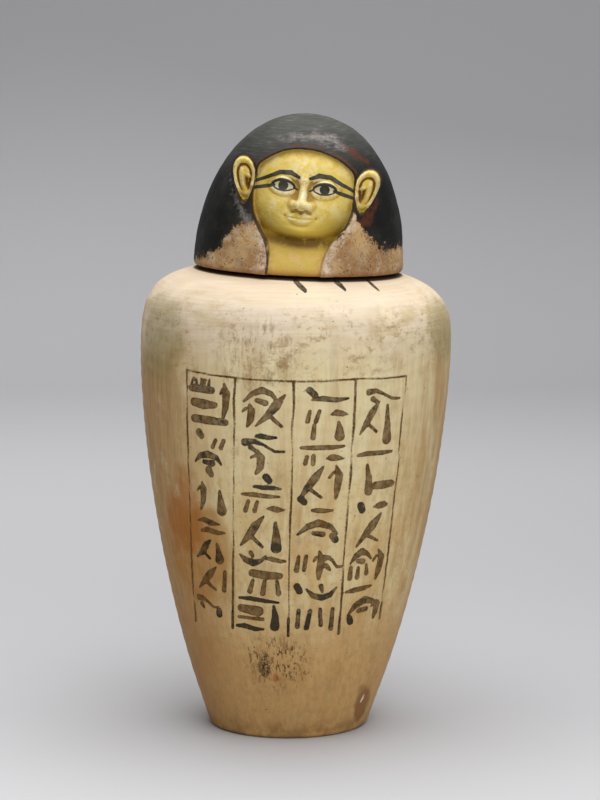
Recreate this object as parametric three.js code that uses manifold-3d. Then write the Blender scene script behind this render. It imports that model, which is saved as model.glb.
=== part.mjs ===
// A painted pottery canopic jar with its human-headed lid, in millimetres, +Z up, the face looking along -Y.
// The origin is the middle of the flat foot. The jar is a hollow, high-shouldered vessel that leans a little.
// The lid is a hollow modelled head: a plain wig shaped as a dome, with the face, neck and ears let into its
// front, and a short flange below that drops into the mouth of the jar.
import * as THREE from 'three';
import { mergeVertices } from 'three/addons/utils/BufferGeometryUtils.js';
import Module from 'manifold-3d';

// Jar
const jarHeight = 281.7;
const footRadius = 49.3;
const footEdge = 3.2;
const bellyRadius = 94.9;
const bellyHeight = 235;
const mouthRadius = 42;
const lipWidth = 10;
const lipEdge = 1.4;
const wallThickness = 9;
const floorThickness = 14;
const leanPerHeight = 0.02;
const mouthTiltDeg = 2.2;

// Lid
const lidRadius = 63.6;
const lidHeight = 92.6;
const lidLean = 0.022;
const rimTuck = 1.2;
const seatGap = 0.3;
const lidShift = 0.4;
const flangeClearance = 1.6;
const flangeThickness = 8;
const flangeDepth = 12;
const lidWall = 13;

// Face, ears and wig opening
const faceHeight = 51;
const faceHalfWidth = 30;
const chinHeight = 22;
const faceShift = 4.5;
const headTiltDeg = 4;
const headTurnDeg = 4;
const neckRecess = 14.5;
const neckWall = 6.5;
const earHeight = 26;
const wigThickness = 2.8;
const hairRise = 16;

// Fineness of the faceted surfaces
const jarSegments = 38;
const bodySteps = 9;
const shoulderSteps = 7;
const lidColumns = 48;
const lidRows = 17;
const hollowRows = 8;
const faceColumns = 37;
const faceRows = 44;
const openingPoints = 60;
const earPoints = 24;

const wasm = await Module();
wasm.setup();

const { clamp, degToRad, smoothstep } = THREE.MathUtils;
const mix = (a, b, share) => a + (b - a) * share;
const bell = (x, middle, width) => Math.exp(-(((x - middle) / width) ** 2));
const dab = (u, v, u0, v0, width, height) => bell(u, u0, width) * bell(v, v0, height);

function smoothMax(a, b, width) {
  const share = clamp(0.5 + (0.5 * (a - b)) / width, 0, 1);
  return mix(b, a, share) + width * share * (1 - share);
}

// A smooth curve through [place, value] pairs that never overshoots them.
function track(place, pairs) {
  const last = pairs.length - 1;
  const at = clamp(place, pairs[0][0], pairs[last][0]);
  const rise = (i) => (pairs[i + 1][1] - pairs[i][1]) / (pairs[i + 1][0] - pairs[i][0]);
  const slope = (i) => {
    if (i === 0) return rise(0);
    if (i === last) return rise(last - 1);
    const before = rise(i - 1);
    const after = rise(i);
    return before * after <= 0 ? 0 : (2 * before * after) / (before + after);
  };
  let i = 0;
  while (i < last - 1 && at > pairs[i + 1][0]) i += 1;
  const width = pairs[i + 1][0] - pairs[i][0];
  const t = (at - pairs[i][0]) / width;
  return (1 + 2 * t) * (1 - t) ** 2 * pairs[i][1]
    + t * (1 - t) ** 2 * width * slope(i)
    + t * t * (3 - 2 * t) * pairs[i + 1][1]
    + t * t * (t - 1) * width * slope(i + 1);
}

// Values from low to high, packed closer where density is larger.
function spread(count, low, high, density) {
  const samples = 2000;
  const sums = [0];
  for (let i = 0; i < samples; i += 1) {
    sums.push(sums[i] + density(mix(low, high, (i + 0.5) / samples)));
  }
  const values = [];
  let i = 0;
  for (let n = 0; n < count; n += 1) {
    const wanted = (sums[samples] * n) / (count - 1);
    while (i < samples - 1 && sums[i + 1] < wanted) i += 1;
    const share = (wanted - sums[i]) / (sums[i + 1] - sums[i]);
    values.push(mix(low, high, (i + share) / samples));
  }
  return values;
}

// The jar's outline from the foot to the lip, as [radius, height] points: the body swells to the belly,
// and the shoulder turns over to a shallow slope that ends at the lip.
function jarOutline() {
  const lipRadius = mouthRadius + lipWidth;
  const bodyLow = new THREE.Vector2(footRadius, footEdge);
  const belly = new THREE.Vector2(bellyRadius, bellyHeight);
  const swell = bellyRadius - footRadius;
  const body = new THREE.CubicBezierCurve(
    bodyLow,
    new THREE.Vector2(footRadius + 0.66 * swell, 0.327 * bellyHeight),
    new THREE.Vector2(bellyRadius, 0.776 * bellyHeight),
    belly,
  );
  const shoulderRise = jarHeight - bellyHeight;
  const shoulderRun = bellyRadius - lipRadius;
  const shoulder = new THREE.CubicBezierCurve(
    belly,
    new THREE.Vector2(bellyRadius, bellyHeight + 0.59 * shoulderRise),
    new THREE.Vector2(lipRadius + 0.9 * shoulderRun, jarHeight - 0.15 * shoulderRise),
    new THREE.Vector2(lipRadius, jarHeight),
  );
  return [...body.getPoints(bodySteps), ...shoulder.getPoints(shoulderSteps).slice(1)];
}

// The same outline moved in by the wall, kept above the floor and outside the mouth.
function cavityOutline(outline) {
  const inner = outline.map((point, i) => {
    const before = outline[Math.max(i - 1, 0)];
    const after = outline[Math.min(i + 1, outline.length - 1)];
    const along = after.clone().sub(before).normalize();
    return new THREE.Vector2(point.x - along.y * wallThickness, point.y + along.x * wallThickness);
  });
  const cornerRound = 0.5 * wallThickness;
  const lipUnderside = jarHeight - wallThickness;
  const kept = inner.filter((p) => p.y > floorThickness + cornerRound
    && p.y < lipUnderside - 0.2
    && p.x > mouthRadius + 0.5 * wallThickness);
  const floorRadius = footRadius - wallThickness;
  return [
    new THREE.Vector2(0, floorThickness),
    new THREE.Vector2(floorRadius - cornerRound, floorThickness),
    new THREE.Vector2(floorRadius, floorThickness + 0.4 * cornerRound),
    ...kept,
    new THREE.Vector2(mouthRadius + 0.5 * lipWidth, lipUnderside),
    new THREE.Vector2(mouthRadius, lipUnderside + lipEdge),
  ];
}

// Sideways place of the jar's middle at a height: the potter's wheel left it out of true.
const leanAt = (height) => leanPerHeight * height;

function jarGeometry() {
  const outline = jarOutline();
  const profile = [
    new THREE.Vector2(0, 0),
    new THREE.Vector2(footRadius - footEdge, 0),
    new THREE.Vector2(footRadius - 0.35 * footEdge, 0.3 * footEdge),
    ...outline.slice(0, -1),
    new THREE.Vector2(mouthRadius + lipWidth, jarHeight),
    new THREE.Vector2(mouthRadius + lipEdge, jarHeight),
    new THREE.Vector2(mouthRadius, jarHeight - lipEdge),
    ...cavityOutline(outline).reverse(),
  ];
  const geometry = new THREE.LatheGeometry(profile, jarSegments);
  geometry.rotateX(Math.PI / 2);
  const place = geometry.attributes.position;
  const slope = Math.tan(degToRad(mouthTiltDeg));
  for (let i = 0; i < place.count; i += 1) {
    const x = place.getX(i);
    const z = place.getZ(i);
    const tilted = smoothstep(z, bellyHeight, jarHeight - wallThickness);
    place.setXYZ(i, x + leanAt(z), place.getY(i), z - slope * x * tilted);
  }
  return geometry;
}

// The wig without its opening is a dome, fuller at the front than at the sides. Turn 0 is the front.
function domeFullness(turn) {
  const front = Math.max(0, Math.cos(turn));
  const back = Math.max(0, -Math.cos(turn));
  return 2.08 + 0.5 * front ** 2 + 0.25 * back ** 2;
}

function domeRadius(turn, height) {
  const power = domeFullness(turn);
  return lidRadius * (1 - (clamp(height, 0, lidHeight) / lidHeight) ** power) ** (1 / power);
}

// How far in front of the lid's axis the dome lies at a sideways place and a height. The dome leans a little.
function domeDepth(x, height) {
  const across = x - lidLean * height;
  let turn = 0;
  for (let pass = 0; pass < 6; pass += 1) {
    turn = Math.asin(clamp(across / Math.max(domeRadius(turn, height), 1), -1, 1));
  }
  return domeRadius(turn, height) * Math.cos(turn);
}

// Climb 0 is the rim and a quarter circle the crown.
function domePoint(turn, climb) {
  const power = domeFullness(turn);
  const across = Math.cos(climb);
  const up = Math.sin(climb);
  const reach = (across ** power + up ** power) ** (-1 / power);
  const height = lidHeight * up * reach;
  const radius = lidRadius * across * reach - rimTuck * bell(height, -1.5, 2.2);
  return new THREE.Vector3(radius * Math.sin(turn) + lidLean * height, -radius * Math.cos(turn), height);
}

// The face is laid out in face units, of which its height from chin to hairline has 51. u runs across from
// the nose and v up from the chin. The rule of thirds places the brow, the base of the nose and the chin,
// and five eye widths go across.
const unit = faceHeight / 51;
const third = 17;
const halfWidth = faceHalfWidth / unit;
const eyeWidth = (2 * halfWidth) / 5;
const browLevel = 2.02 * third;
const eyeLevel = 1.7 * third;
const noseLevel = third;
const mouthLevel = 0.66 * third;
const eyeMiddle = eyeWidth + 0.3;

// Half the width of the face from the temples to the narrow chin.
function faceOutline(v) {
  if (v > 28) return halfWidth * (1 - 0.1 * clamp((v - 28) / 23, 0, 2) ** 2);
  return halfWidth * Math.sqrt(clamp(1 - ((28 - v) / 31.5) ** 2.3, 1e-3, 1));
}

// How far the plain front of the face lies inside the lid's radius: a rounded mask from the middle line to
// the edge by the ears.
function maskInset(u, v) {
  const middle = track(v, [
    [-6, 19.5], [0, 12.5], [5, 11], [11, 11.5], [17, 12.2],
    [27, 12.7], [34, 11.9], [42, 13.7], [52, 19.5], [60, 25.5],
  ]);
  const edge = track(v, [[-6, 21.5], [6, 19.5], [17, 19.9], [28, 20.9], [38, 22.5], [52, 29.5], [60, 34.5]]);
  return mix(middle, edge, Math.min((Math.abs(u) / faceOutline(v)) ** 2.4, 6));
}

function noseRelief(a, v) {
  const ridge = track(v, [
    [noseLevel - 2.8, 0], [noseLevel - 1, 3.2], [noseLevel + 0.8, 6.3], [noseLevel + 3, 7.4],
    [noseLevel + 6, 6.6], [noseLevel + 10, 4.7], [browLevel - 2.5, 2.5],
    [browLevel + 3, 0.6], [browLevel + 10, 0],
  ]);
  const width = track(v, [
    [noseLevel - 2, 4], [noseLevel + 2, 3.7], [noseLevel + 6, 2.9], [noseLevel + 12, 2.5],
    [browLevel + 3, 4.2],
  ]);
  const wing = 2.9 * Math.exp(-(Math.hypot((a - 4.5) / 2.7, (v - noseLevel - 2) / 2.8) ** 2.6));
  const nostril = 1.1 * dab(a, v, 2.9, noseLevel - 0.7, 1.5, 0.9);
  return ridge * Math.exp(-((a / width) ** 2.4)) + wing - nostril;
}

function browRelief(a, v) {
  const line = browLevel + 0.8 - 0.02 * (a - 11) ** 2;
  const socket = 2.8 * dab(a, v, eyeMiddle, eyeLevel + 0.6, 8.2, 5.2);
  const innerCorner = 1.6 * dab(a, v, 6, eyeLevel + 1.5, 3.2, 4.5);
  return bell(v, line, 2.3) * smoothstep(a, 3, 7) * (1 - smoothstep(a, 19, 25)) - socket - innerCorner;
}

// Distance inside the almond between the lids, in face units, negative outside.
function eyeInside(a, v) {
  const across = (a - eyeMiddle) / 6.9;
  const level = v - eyeLevel - 0.05 * (a - eyeMiddle);
  const upper = 3 * clamp(1 - Math.abs(across) ** 2.2, 0, 1) ** 0.85;
  const lower = 2.3 * clamp(1 - across ** 2, 0, 1) ** 0.9;
  return Math.min(upper - level, level + lower);
}

function eyeRelief(a, v) {
  const inside = eyeInside(a, v);
  const across = Math.abs((a - eyeMiddle) / 6.9);
  const level = v - eyeLevel - 0.05 * (a - eyeMiddle);
  const ball = 2.6 * clamp(1 - ((a - eyeMiddle) / 9.6) ** 2 - ((level - 0.4) / 6.4) ** 2, 0, 1) ** 0.8;
  const ends = 1 - smoothstep(across, 0.86, 1.12);
  const above = smoothstep(level, -0.6, 0.6);
  const lid = mix(0.2, 0.38, above) * bell(inside, -0.9, 0.8) * ends;
  const crease = 0.75 * above * bell(inside, -2.9, 0.75) * (1 - smoothstep(across, 0.8, 1.25));
  return ball + lid - crease - 0.5 * smoothstep(inside, -0.25, 0.25) * ends;
}

function mouthRelief(u, v) {
  const a = Math.abs(u);
  const halfMouth = 9;
  const line = mouthLevel + 0.004 * a * a - 0.1;
  const taper = clamp(1 - (a / halfMouth) ** 2, 0, 1);
  const bow = 0.55 * bell(a, 2.2, 1.8) - 0.25 * bell(u, 0, 1);
  const upperHeight = Math.max(3 * taper ** 0.8 + bow * taper, 0.05);
  const lowerHeight = Math.max(3.5 * clamp(1 - (a / (halfMouth - 0.6)) ** 2.2, 0, 1) ** 0.8, 0.05);
  const above = (v - line) / upperHeight;
  const below = (line - v) / lowerHeight;
  const upperLip = 1.45 * (1 - smoothstep(above, 0.5, 1.2)) + 0.35 * bell(above, 0.9, 0.2);
  const lowerLip = 1.4 * (1 - smoothstep(below, 0.4, 1.3));
  const parting =
    Math.exp(-((Math.abs(v - line) / 0.62) ** 1.6)) * (1 - smoothstep(a, halfMouth - 2, halfMouth + 0.8));
  return 2.3 * dab(u, v, 0, mouthLevel + 0.5, 11, 7.5)
    + taper ** 0.6 * (v >= line ? upperLip : lowerLip)
    - parting
    - 0.55 * dab(a, v, halfMouth + 0.6, mouthLevel + 0.9, 1.7, 1.7)
    - 0.5 * dab(u, v, 0, noseLevel - 2.6, 1.2, 2.2);
}

function cheekAndChinRelief(u, v) {
  return 1.5 * dab(Math.abs(u), v, 16, 17.5, 8.5, 8)
    - dab(u, v, 0, mouthLevel - 4.6, 6.5, 1.8)
    + 3.5 * dab(u, v, 0, 4.2, 7.5, 5);
}

// How far in front of the lid's axis the face lies, without and with its features, in millimetres.
const faceMaskDepth = (u, v) => lidRadius - unit * maskInset(u, v);
function faceDepth(u, v) {
  const a = Math.abs(u);
  const relief =
    cheekAndChinRelief(u, v) + browRelief(a, v) + noseRelief(a, v) + mouthRelief(u, v) + eyeRelief(a, v);
  return faceMaskDepth(u, v) + unit * relief;
}

// Where a place on the face lies in the lid, at a depth in front of the lid's axis: the head is tilted
// sideways and stands beside the lid's middle.
const faceMiddle = chinHeight + faceHeight / 2;
function facePoint(u, v, depth) {
  const point = new THREE.Vector3(u * unit, -depth, v * unit - faceHeight / 2);
  point.applyAxisAngle(new THREE.Vector3(0, 1, 0), degToRad(headTiltDeg));
  return point.add(new THREE.Vector3(faceShift, 0, faceMiddle));
}

// The face place [u, v] of a point of the lid.
function facePlace(point) {
  const turned = point.clone().sub(new THREE.Vector3(faceShift, 0, faceMiddle));
  turned.applyAxisAngle(new THREE.Vector3(0, 1, 0), degToRad(-headTiltDeg));
  return [turned.x / unit, (turned.z + faceHeight / 2) / unit];
}

// The neck is sunk into the dome under the chin and comes out to meet the rim.
function neckDepth(u, v) {
  const place = facePoint(u, v, 0);
  const rise = place.z / chinHeight;
  const sunk = track(rise, [
    [-0.1, 0.04], [0, 0.04], [0.27, 0.2], [0.55, 0.55], [0.82, 0.9], [1, 1], [1.8, 1.07],
  ]);
  const side = 2.5 * smoothstep(rise, 0.36, 0.91) * (u / 17) ** 2;
  return domeDepth(place.x, place.z) - neckRecess * sunk - side;
}

const skinDepth = (u, v) => smoothMax(faceDepth(u, v), neckDepth(u, v), 2.5);
const skinMaskDepth = (u, v) => smoothMax(faceMaskDepth(u, v), neckDepth(u, v), 2.5);

// Distance inside the edge of the wig's opening around the face and neck, in face units.
function openingInside(u, v) {
  const a = Math.abs(u);
  const low = -chinHeight / unit;
  const half = track(v, [
    [low - 3, 15.5], [low, 15.5], [low + 10, 16], [-4, 18.6],
    [4, 23.8], [12, 28], [20, 29.6], [30, 29.8], [38, 28.6],
  ]);
  const side = half * (halfWidth / 30) - a;
  const fringe = (51.6 - 13.5 * (a / halfWidth) ** 2.3 - v) * 0.9;
  return -smoothMax(-side, -fringe, 2.5);
}

// The ear's own directions: across from its middle, and up.
const earLevel = 30;
function earPlace(u, v) {
  const earUnit = earHeight / unit / 28.4;
  const up = v - earLevel;
  return [(Math.abs(u) - halfWidth - 6.2 - 0.12 * up) / earUnit, up / earUnit];
}

function earInside(u, v) {
  const [across, up] = earPlace(u, v);
  const half = track(up, [[-15, 4.2], [-10, 4.8], [-4, 6.2], [4, 7.9], [9, 8.3], [15, 7.6]]);
  const reach = (Math.abs(across / half) ** 2.2 + Math.abs(up / 14.2) ** 2.4) ** (1 / 2.3);
  return (1 - reach) * 7;
}

// A rolled outer rim with a groove inside it, a fold, the bowl, the small flap in front of it and the lobe.
function earDepth(u, v) {
  const [across, up] = earPlace(u, v);
  const inside = earInside(u, v);
  const plane = 20.3 + 0.4 * (across + 6.2) + 0.01 * (up + 1) ** 2;
  const behind = smoothstep(across + 0.35 * (up + 6), -6.5, -2);
  const rim = 1.3 * Math.exp(-(Math.abs((inside - 1.05) / 1.15) ** 2.6)) * behind * smoothstep(up, -12, -7);
  const groove = 0.9 * bell(inside, 2.7, 0.75) * behind * smoothstep(up, -7, 0);
  const fold = 0.8 * bell(across, 1.2 + 0.12 * up, 1.5) * smoothstep(up, -8, -4) * (1 - smoothstep(up, 6, 9));
  const bowl = 2.2 * Math.exp(-(Math.abs((across + 2.1) / 2.5) ** 2.4) - Math.abs((up + 2.6) / 4) ** 2.4);
  const bridge = bell(across, -3, 2.6) * bell(up, 3 + 0.3 * across, 1.3);
  const flap = 1.7 * dab(across, up, -5, -3.6, 1.6, 2.4);
  const lobe = 0.9 * dab(across, up, -1.6, -10.4, 3.2, 2.8);
  return lidRadius - unit * (plane - rim + groove - fold + bowl - bridge - flap - lobe);
}

// The hair round the opening stands in front of the skin and runs back into the dome. Over the opening the
// mass stands further out still, clear of the nose, until it is cut away.
function wigPoint(turn, climb) {
  const point = domePoint(turn, climb);
  if (Math.cos(turn) < 0.05) return point;
  const [u, v] = facePlace(point);
  const inside = openingInside(u, v) * unit;
  const hair = skinMaskDepth(u, v) + wigThickness - 0.03 * Math.max(0, -inside) ** 2;
  const band = Math.min(hair, 6 - point.y);
  const near = (1 - smoothstep(-inside, 6, hairRise)) * (1 - smoothstep(Math.abs(u), 30, 38));
  const uncut = 12 * smoothstep(inside, 5, 12);
  point.y = -mix(-point.y, smoothMax(-point.y, band, 3), near) - uncut;
  return point;
}

// The hollow of the lid: narrow inside the flange, then a dome that leaves the wall.
function hollowRadius(height) {
  const flangeInner = mouthRadius - flangeClearance - flangeThickness;
  const top = lidHeight - lidWall;
  const widest = lidRadius - neckRecess - neckWall;
  const domed = widest * clamp(1 - (Math.max(height, 0) / top) ** 3.2, 0, 1) ** (1 / 3.2);
  return mix(flangeInner, domed, smoothstep(height, 3, 18));
}

// One closed body from rings of equal length, with a single point at each end.
function closedRings(rings, first, last) {
  const columns = rings[0].length;
  const points = [first, ...rings.flat(), last];
  const at = (ring, column) => 1 + ring * columns + (column % columns);
  const faces = [];
  for (let i = 0; i < columns; i += 1) {
    faces.push(0, at(0, i), at(0, i + 1));
    for (let j = 0; j < rings.length - 1; j += 1) {
      faces.push(at(j, i), at(j + 1, i), at(j + 1, i + 1));
      faces.push(at(j, i), at(j + 1, i + 1), at(j, i + 1));
    }
    faces.push(at(rings.length - 1, i + 1), at(rings.length - 1, i), points.length - 1);
  }
  return solidOf(points, faces);
}

function solidOf(points, faces) {
  const vertProperties = new Float32Array(points.flatMap((point) => point.toArray()));
  return new wasm.Manifold(new wasm.Mesh({ numProp: 3, vertProperties, triVerts: new Uint32Array(faces) }));
}

// The lid before the face is cut: from the crown down the outside, under the rim, round the flange and up
// the hollow.
function uncarvedLid() {
  const turns = spread(lidColumns + 1, -Math.PI, Math.PI, (turn) => 1 + 1.2 * Math.exp(-((turn / 1.1) ** 4)));
  turns.pop();
  const circle = (radius, height) => turns.map(
    (turn) => new THREE.Vector3(radius * Math.sin(turn), -radius * Math.cos(turn), height),
  );
  const closer = (climb) => 1 + 0.6 * Math.exp(-(((climb - 0.5) / 0.45) ** 4));
  const climbs = spread(lidRows + 1, Math.PI / 2, 0, closer);
  const flangeOuter = mouthRadius - flangeClearance;
  const flangeInner = flangeOuter - flangeThickness;
  const top = lidHeight - lidWall;
  const heights = Array.from(
    { length: hollowRows },
    (_, i) => top * Math.sin((Math.PI / 2) * (i / hollowRows)),
  );
  const rings = [
    ...climbs.slice(1).map((climb) => turns.map((turn) => wigPoint(turn, climb))),
    circle(flangeOuter, 0),
    circle(flangeOuter - 0.6, -flangeDepth),
    circle(flangeInner, -flangeDepth),
    ...heights.slice(1).map((height) => circle(hollowRadius(height), height)),
  ];
  return closedRings(rings, new THREE.Vector3(0, 0, lidHeight), new THREE.Vector3(0, 0, top));
}

// Where a ray from a middle place crosses a level of a shape's inside distance.
function crossing(insideOf, middle, angle, level) {
  let near = 0;
  let far = 80;
  for (let pass = 0; pass < 30; pass += 1) {
    const reach = (near + far) / 2;
    const inside = insideOf(middle[0] + reach * Math.cos(angle), middle[1] + reach * Math.sin(angle));
    if (inside > level) near = reach;
    else far = reach;
  }
  return [middle[0] + near * Math.cos(angle), middle[1] + near * Math.sin(angle)];
}

function outlineOf(insideOf, middle, count, level = 0) {
  return Array.from(
    { length: count },
    (_, i) => crossing(insideOf, middle, (2 * Math.PI * i) / count, level),
  );
}

// A straight plug behind an outline, from a depth well clear of the lid to a depth inside it.
const clearDepth = lidRadius + 30;
function plug(outline, middle, depth) {
  const ring = (at) => outline.map(([u, v]) => facePoint(u, v, at));
  const rings = [ring(clearDepth), ring(depth)];
  return closedRings(rings, facePoint(...middle, clearDepth), facePoint(...middle, depth));
}

// The space in front of the skin: a block with the face and neck pressed into its back.
function spaceInFrontOfSkin() {
  const us = spread(faceColumns, -32, 32, (u) => 1 + 0.7 * Math.exp(-((u / 20) ** 4)));
  const low = -chinHeight / unit - 6;
  const vs = spread(faceRows, low, 54, (v) => 1 + 1.1 * Math.exp(-(((v - 24) / 16) ** 4)));
  const layer = (depthOf) => vs.flatMap((v) => us.map((u) => facePoint(u, v, depthOf(u, v))));
  const points = [...layer(skinDepth), ...layer(() => clearDepth)];
  const back = (i, j) => j * us.length + i;
  const front = (i, j) => back(i, j) + us.length * vs.length;
  const right = us.length - 1;
  const top = vs.length - 1;
  const faces = [];
  const quad = (a, b, c, d) => faces.push(a, b, c, a, c, d);
  for (let j = 0; j < top; j += 1) {
    quad(back(0, j), front(0, j), front(0, j + 1), back(0, j + 1));
    quad(back(right, j), back(right, j + 1), front(right, j + 1), front(right, j));
    for (let i = 0; i < right; i += 1) {
      quad(front(i, j), front(i + 1, j), front(i + 1, j + 1), front(i, j + 1));
      quad(back(i, j), back(i, j + 1), back(i + 1, j + 1), back(i + 1, j));
    }
  }
  for (let i = 0; i < right; i += 1) {
    quad(back(i, 0), back(i + 1, 0), front(i + 1, 0), front(i, 0));
    quad(back(i, top), front(i, top), front(i + 1, top), back(i + 1, top));
  }
  return solidOf(points, faces);
}

// The opening in the wig, past the rim below.
function openingSpace() {
  const middle = [0, 20];
  const bottom = -chinHeight / unit - 5;
  const insideOf = (u, v) => Math.min(openingInside(u, v), v - bottom);
  return plug(outlineOf(insideOf, middle, openingPoints), middle, 12).intersect(spaceInFrontOfSkin());
}

// An ear grows out of a seat that is cut for it in the hair.
function ear(side) {
  const middle = [side * (halfWidth + 6.2), earLevel];
  const levels = [5.6, 4.5, 3.6, 2.8, 1.9, 1.15, 0.5, 0];
  const rings = levels.map((level) => outlineOf(earInside, middle, earPoints, level)
    .map(([u, v]) => facePoint(u, v, earDepth(u, v))));
  const root = outlineOf(earInside, middle, earPoints).map(
    ([u, v]) => facePoint(u, v, earDepth(u, v) - 9 * unit),
  );
  const tip = facePoint(...middle, earDepth(...middle));
  return closedRings([...rings, root], tip, facePoint(...middle, earDepth(...middle) - 9 * unit));
}

function earSeat(side) {
  const middle = [side * (halfWidth + 6.2), earLevel];
  return plug(outlineOf(earInside, middle, earPoints, 0.1), middle, lidRadius - 27 * unit);
}

function lidGeometry() {
  let lid = uncarvedLid().subtract(openingSpace());
  for (const side of [-1, 1]) lid = lid.subtract(earSeat(side)).add(ear(side));
  const mesh = lid.getMesh();
  const geometry = new THREE.BufferGeometry();
  geometry.setAttribute('position', new THREE.BufferAttribute(mesh.vertProperties, 3));
  geometry.setIndex(new THREE.BufferAttribute(mesh.triVerts, 1));
  return geometry;
}

function pottery(name, geometry, colour, roughness) {
  const merged = geometry.clone();
  merged.deleteAttribute('normal');
  merged.deleteAttribute('uv');
  const closed = mergeVertices(merged, 1e-3);
  closed.computeVertexNormals();
  const material = new THREE.MeshStandardMaterial({ color: colour, roughness, metalness: 0 });
  const mesh = new THREE.Mesh(closed, material);
  mesh.name = name;
  return mesh;
}

const jar = pottery('jar', jarGeometry(), 0xcdb892, 0.75);
const lid = pottery('lid', lidGeometry(), 0x4a463f, 0.7);
const lidDrop = Math.tan(degToRad(mouthTiltDeg)) * lidShift;
lid.position.set(leanAt(jarHeight) + lidShift, 0, jarHeight + seatGap - lidDrop);
lid.rotation.set(0, degToRad(mouthTiltDeg), degToRad(-headTurnDeg), 'YXZ');

const canopicJar = new THREE.Group();
canopicJar.add(jar, lid);

export default canopicJar;
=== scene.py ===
"""A painted pottery canopic jar with a lift-off lid modelled as a head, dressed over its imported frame.

The jar is a turned, hollow vessel with a painted panel of brush strokes on its front. The lid is a hollow
dome with a face, neck and ears let into its front, painted black and yellow and much worn.
"""

import math

import bpy
import numpy as np
from bpy.props import FloatProperty, FloatVectorProperty, IntProperty, PointerProperty
from mathutils import Euler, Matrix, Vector


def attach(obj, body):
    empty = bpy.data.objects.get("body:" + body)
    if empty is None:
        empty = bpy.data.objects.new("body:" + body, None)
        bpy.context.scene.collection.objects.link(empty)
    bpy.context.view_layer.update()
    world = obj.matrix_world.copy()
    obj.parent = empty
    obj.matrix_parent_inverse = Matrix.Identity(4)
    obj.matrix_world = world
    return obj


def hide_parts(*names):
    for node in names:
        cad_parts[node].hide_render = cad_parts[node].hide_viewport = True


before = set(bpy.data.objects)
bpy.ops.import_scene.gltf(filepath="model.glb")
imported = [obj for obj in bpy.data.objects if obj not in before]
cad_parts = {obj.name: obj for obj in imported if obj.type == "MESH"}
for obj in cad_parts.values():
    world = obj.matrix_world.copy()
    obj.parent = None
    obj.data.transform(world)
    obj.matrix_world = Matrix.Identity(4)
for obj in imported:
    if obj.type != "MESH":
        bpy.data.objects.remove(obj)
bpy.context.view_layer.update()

bl_info = {
    "name": "Canopic Jar",
    "version": (1, 0, 0),
    "blender": (4, 5, 0),
    "location": "View3D > Sidebar > Canopic Jar",
    "description": "Builds a painted pottery canopic jar with a lift-off head lid, and a plain studio for it",
    "category": "Object",
}

MM = 0.001
# In mm, farther than any paint reads, and how far a stroke's distance is worked out
FAR = 20.0
STROKE_REACH = 8.0


def srgb(red, green, blue):
    """A linear colour from its 0 to 255 display values."""
    parts = (value / 255 for value in (red, green, blue))
    return tuple(p / 12.92 if p <= 0.04045 else ((p + 0.055) / 1.055) ** 2.4 for p in parts)


def length_prop(name, description, default):
    """A length in metres."""
    return FloatProperty(name=name, description=description, default=default, unit="LENGTH", precision=4)


def angle_prop(name, description, degrees):
    """An angle, given in degrees and kept in radians."""
    return FloatProperty(name=name, description=description, default=math.radians(degrees), subtype="ANGLE")


def colour_prop(name, description, *display):
    """A colour, given as display values from 0 to 255."""
    return FloatVectorProperty(
        name=name, description=description, default=srgb(*display), size=3, min=0, max=1, subtype="COLOR"
    )


def share_prop(name, description, default):
    """A share from 0 to 1."""
    return FloatProperty(name=name, description=description, default=default, min=0, max=1, subtype="FACTOR")


# Settings


class StageSettings(bpy.types.PropertyGroup):
    """The floor, the lights and the camera."""

    floor: colour_prop("Floor", "Colour of the seamless paper", 203, 203, 205)
    far: colour_prop("Far paper", "Colour that the paper shades into high up", 170, 170, 173)
    key_power: FloatProperty(name="Key", description="Power of the soft light above, in watts", default=36)
    back_power: FloatProperty(name="Back", description="Power of the light on the paper behind", default=3)
    fill_power: FloatProperty(name="Fill", description="Power of the soft light at the right", default=2.5)
    front_power: FloatProperty(name="Front", description="Power of the soft light by the camera", default=8)
    ambient: FloatProperty(name="Ambient", description="Strength of the light from all round", default=0.24)
    camera_distance: length_prop("Camera distance", "How far in front of the jar the camera stands", 1.85)
    camera_height: length_prop("Camera height", "How high the camera stands", 0.46)
    camera_pitch: angle_prop("Camera pitch", "How far the camera looks down", 8.0035)
    camera_yaw: angle_prop("Camera yaw", "How far the camera is turned to the right", 0.2209)
    focal_length: FloatProperty(name="Focal length", description="In mm on a 36 mm film", default=137.65)


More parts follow.
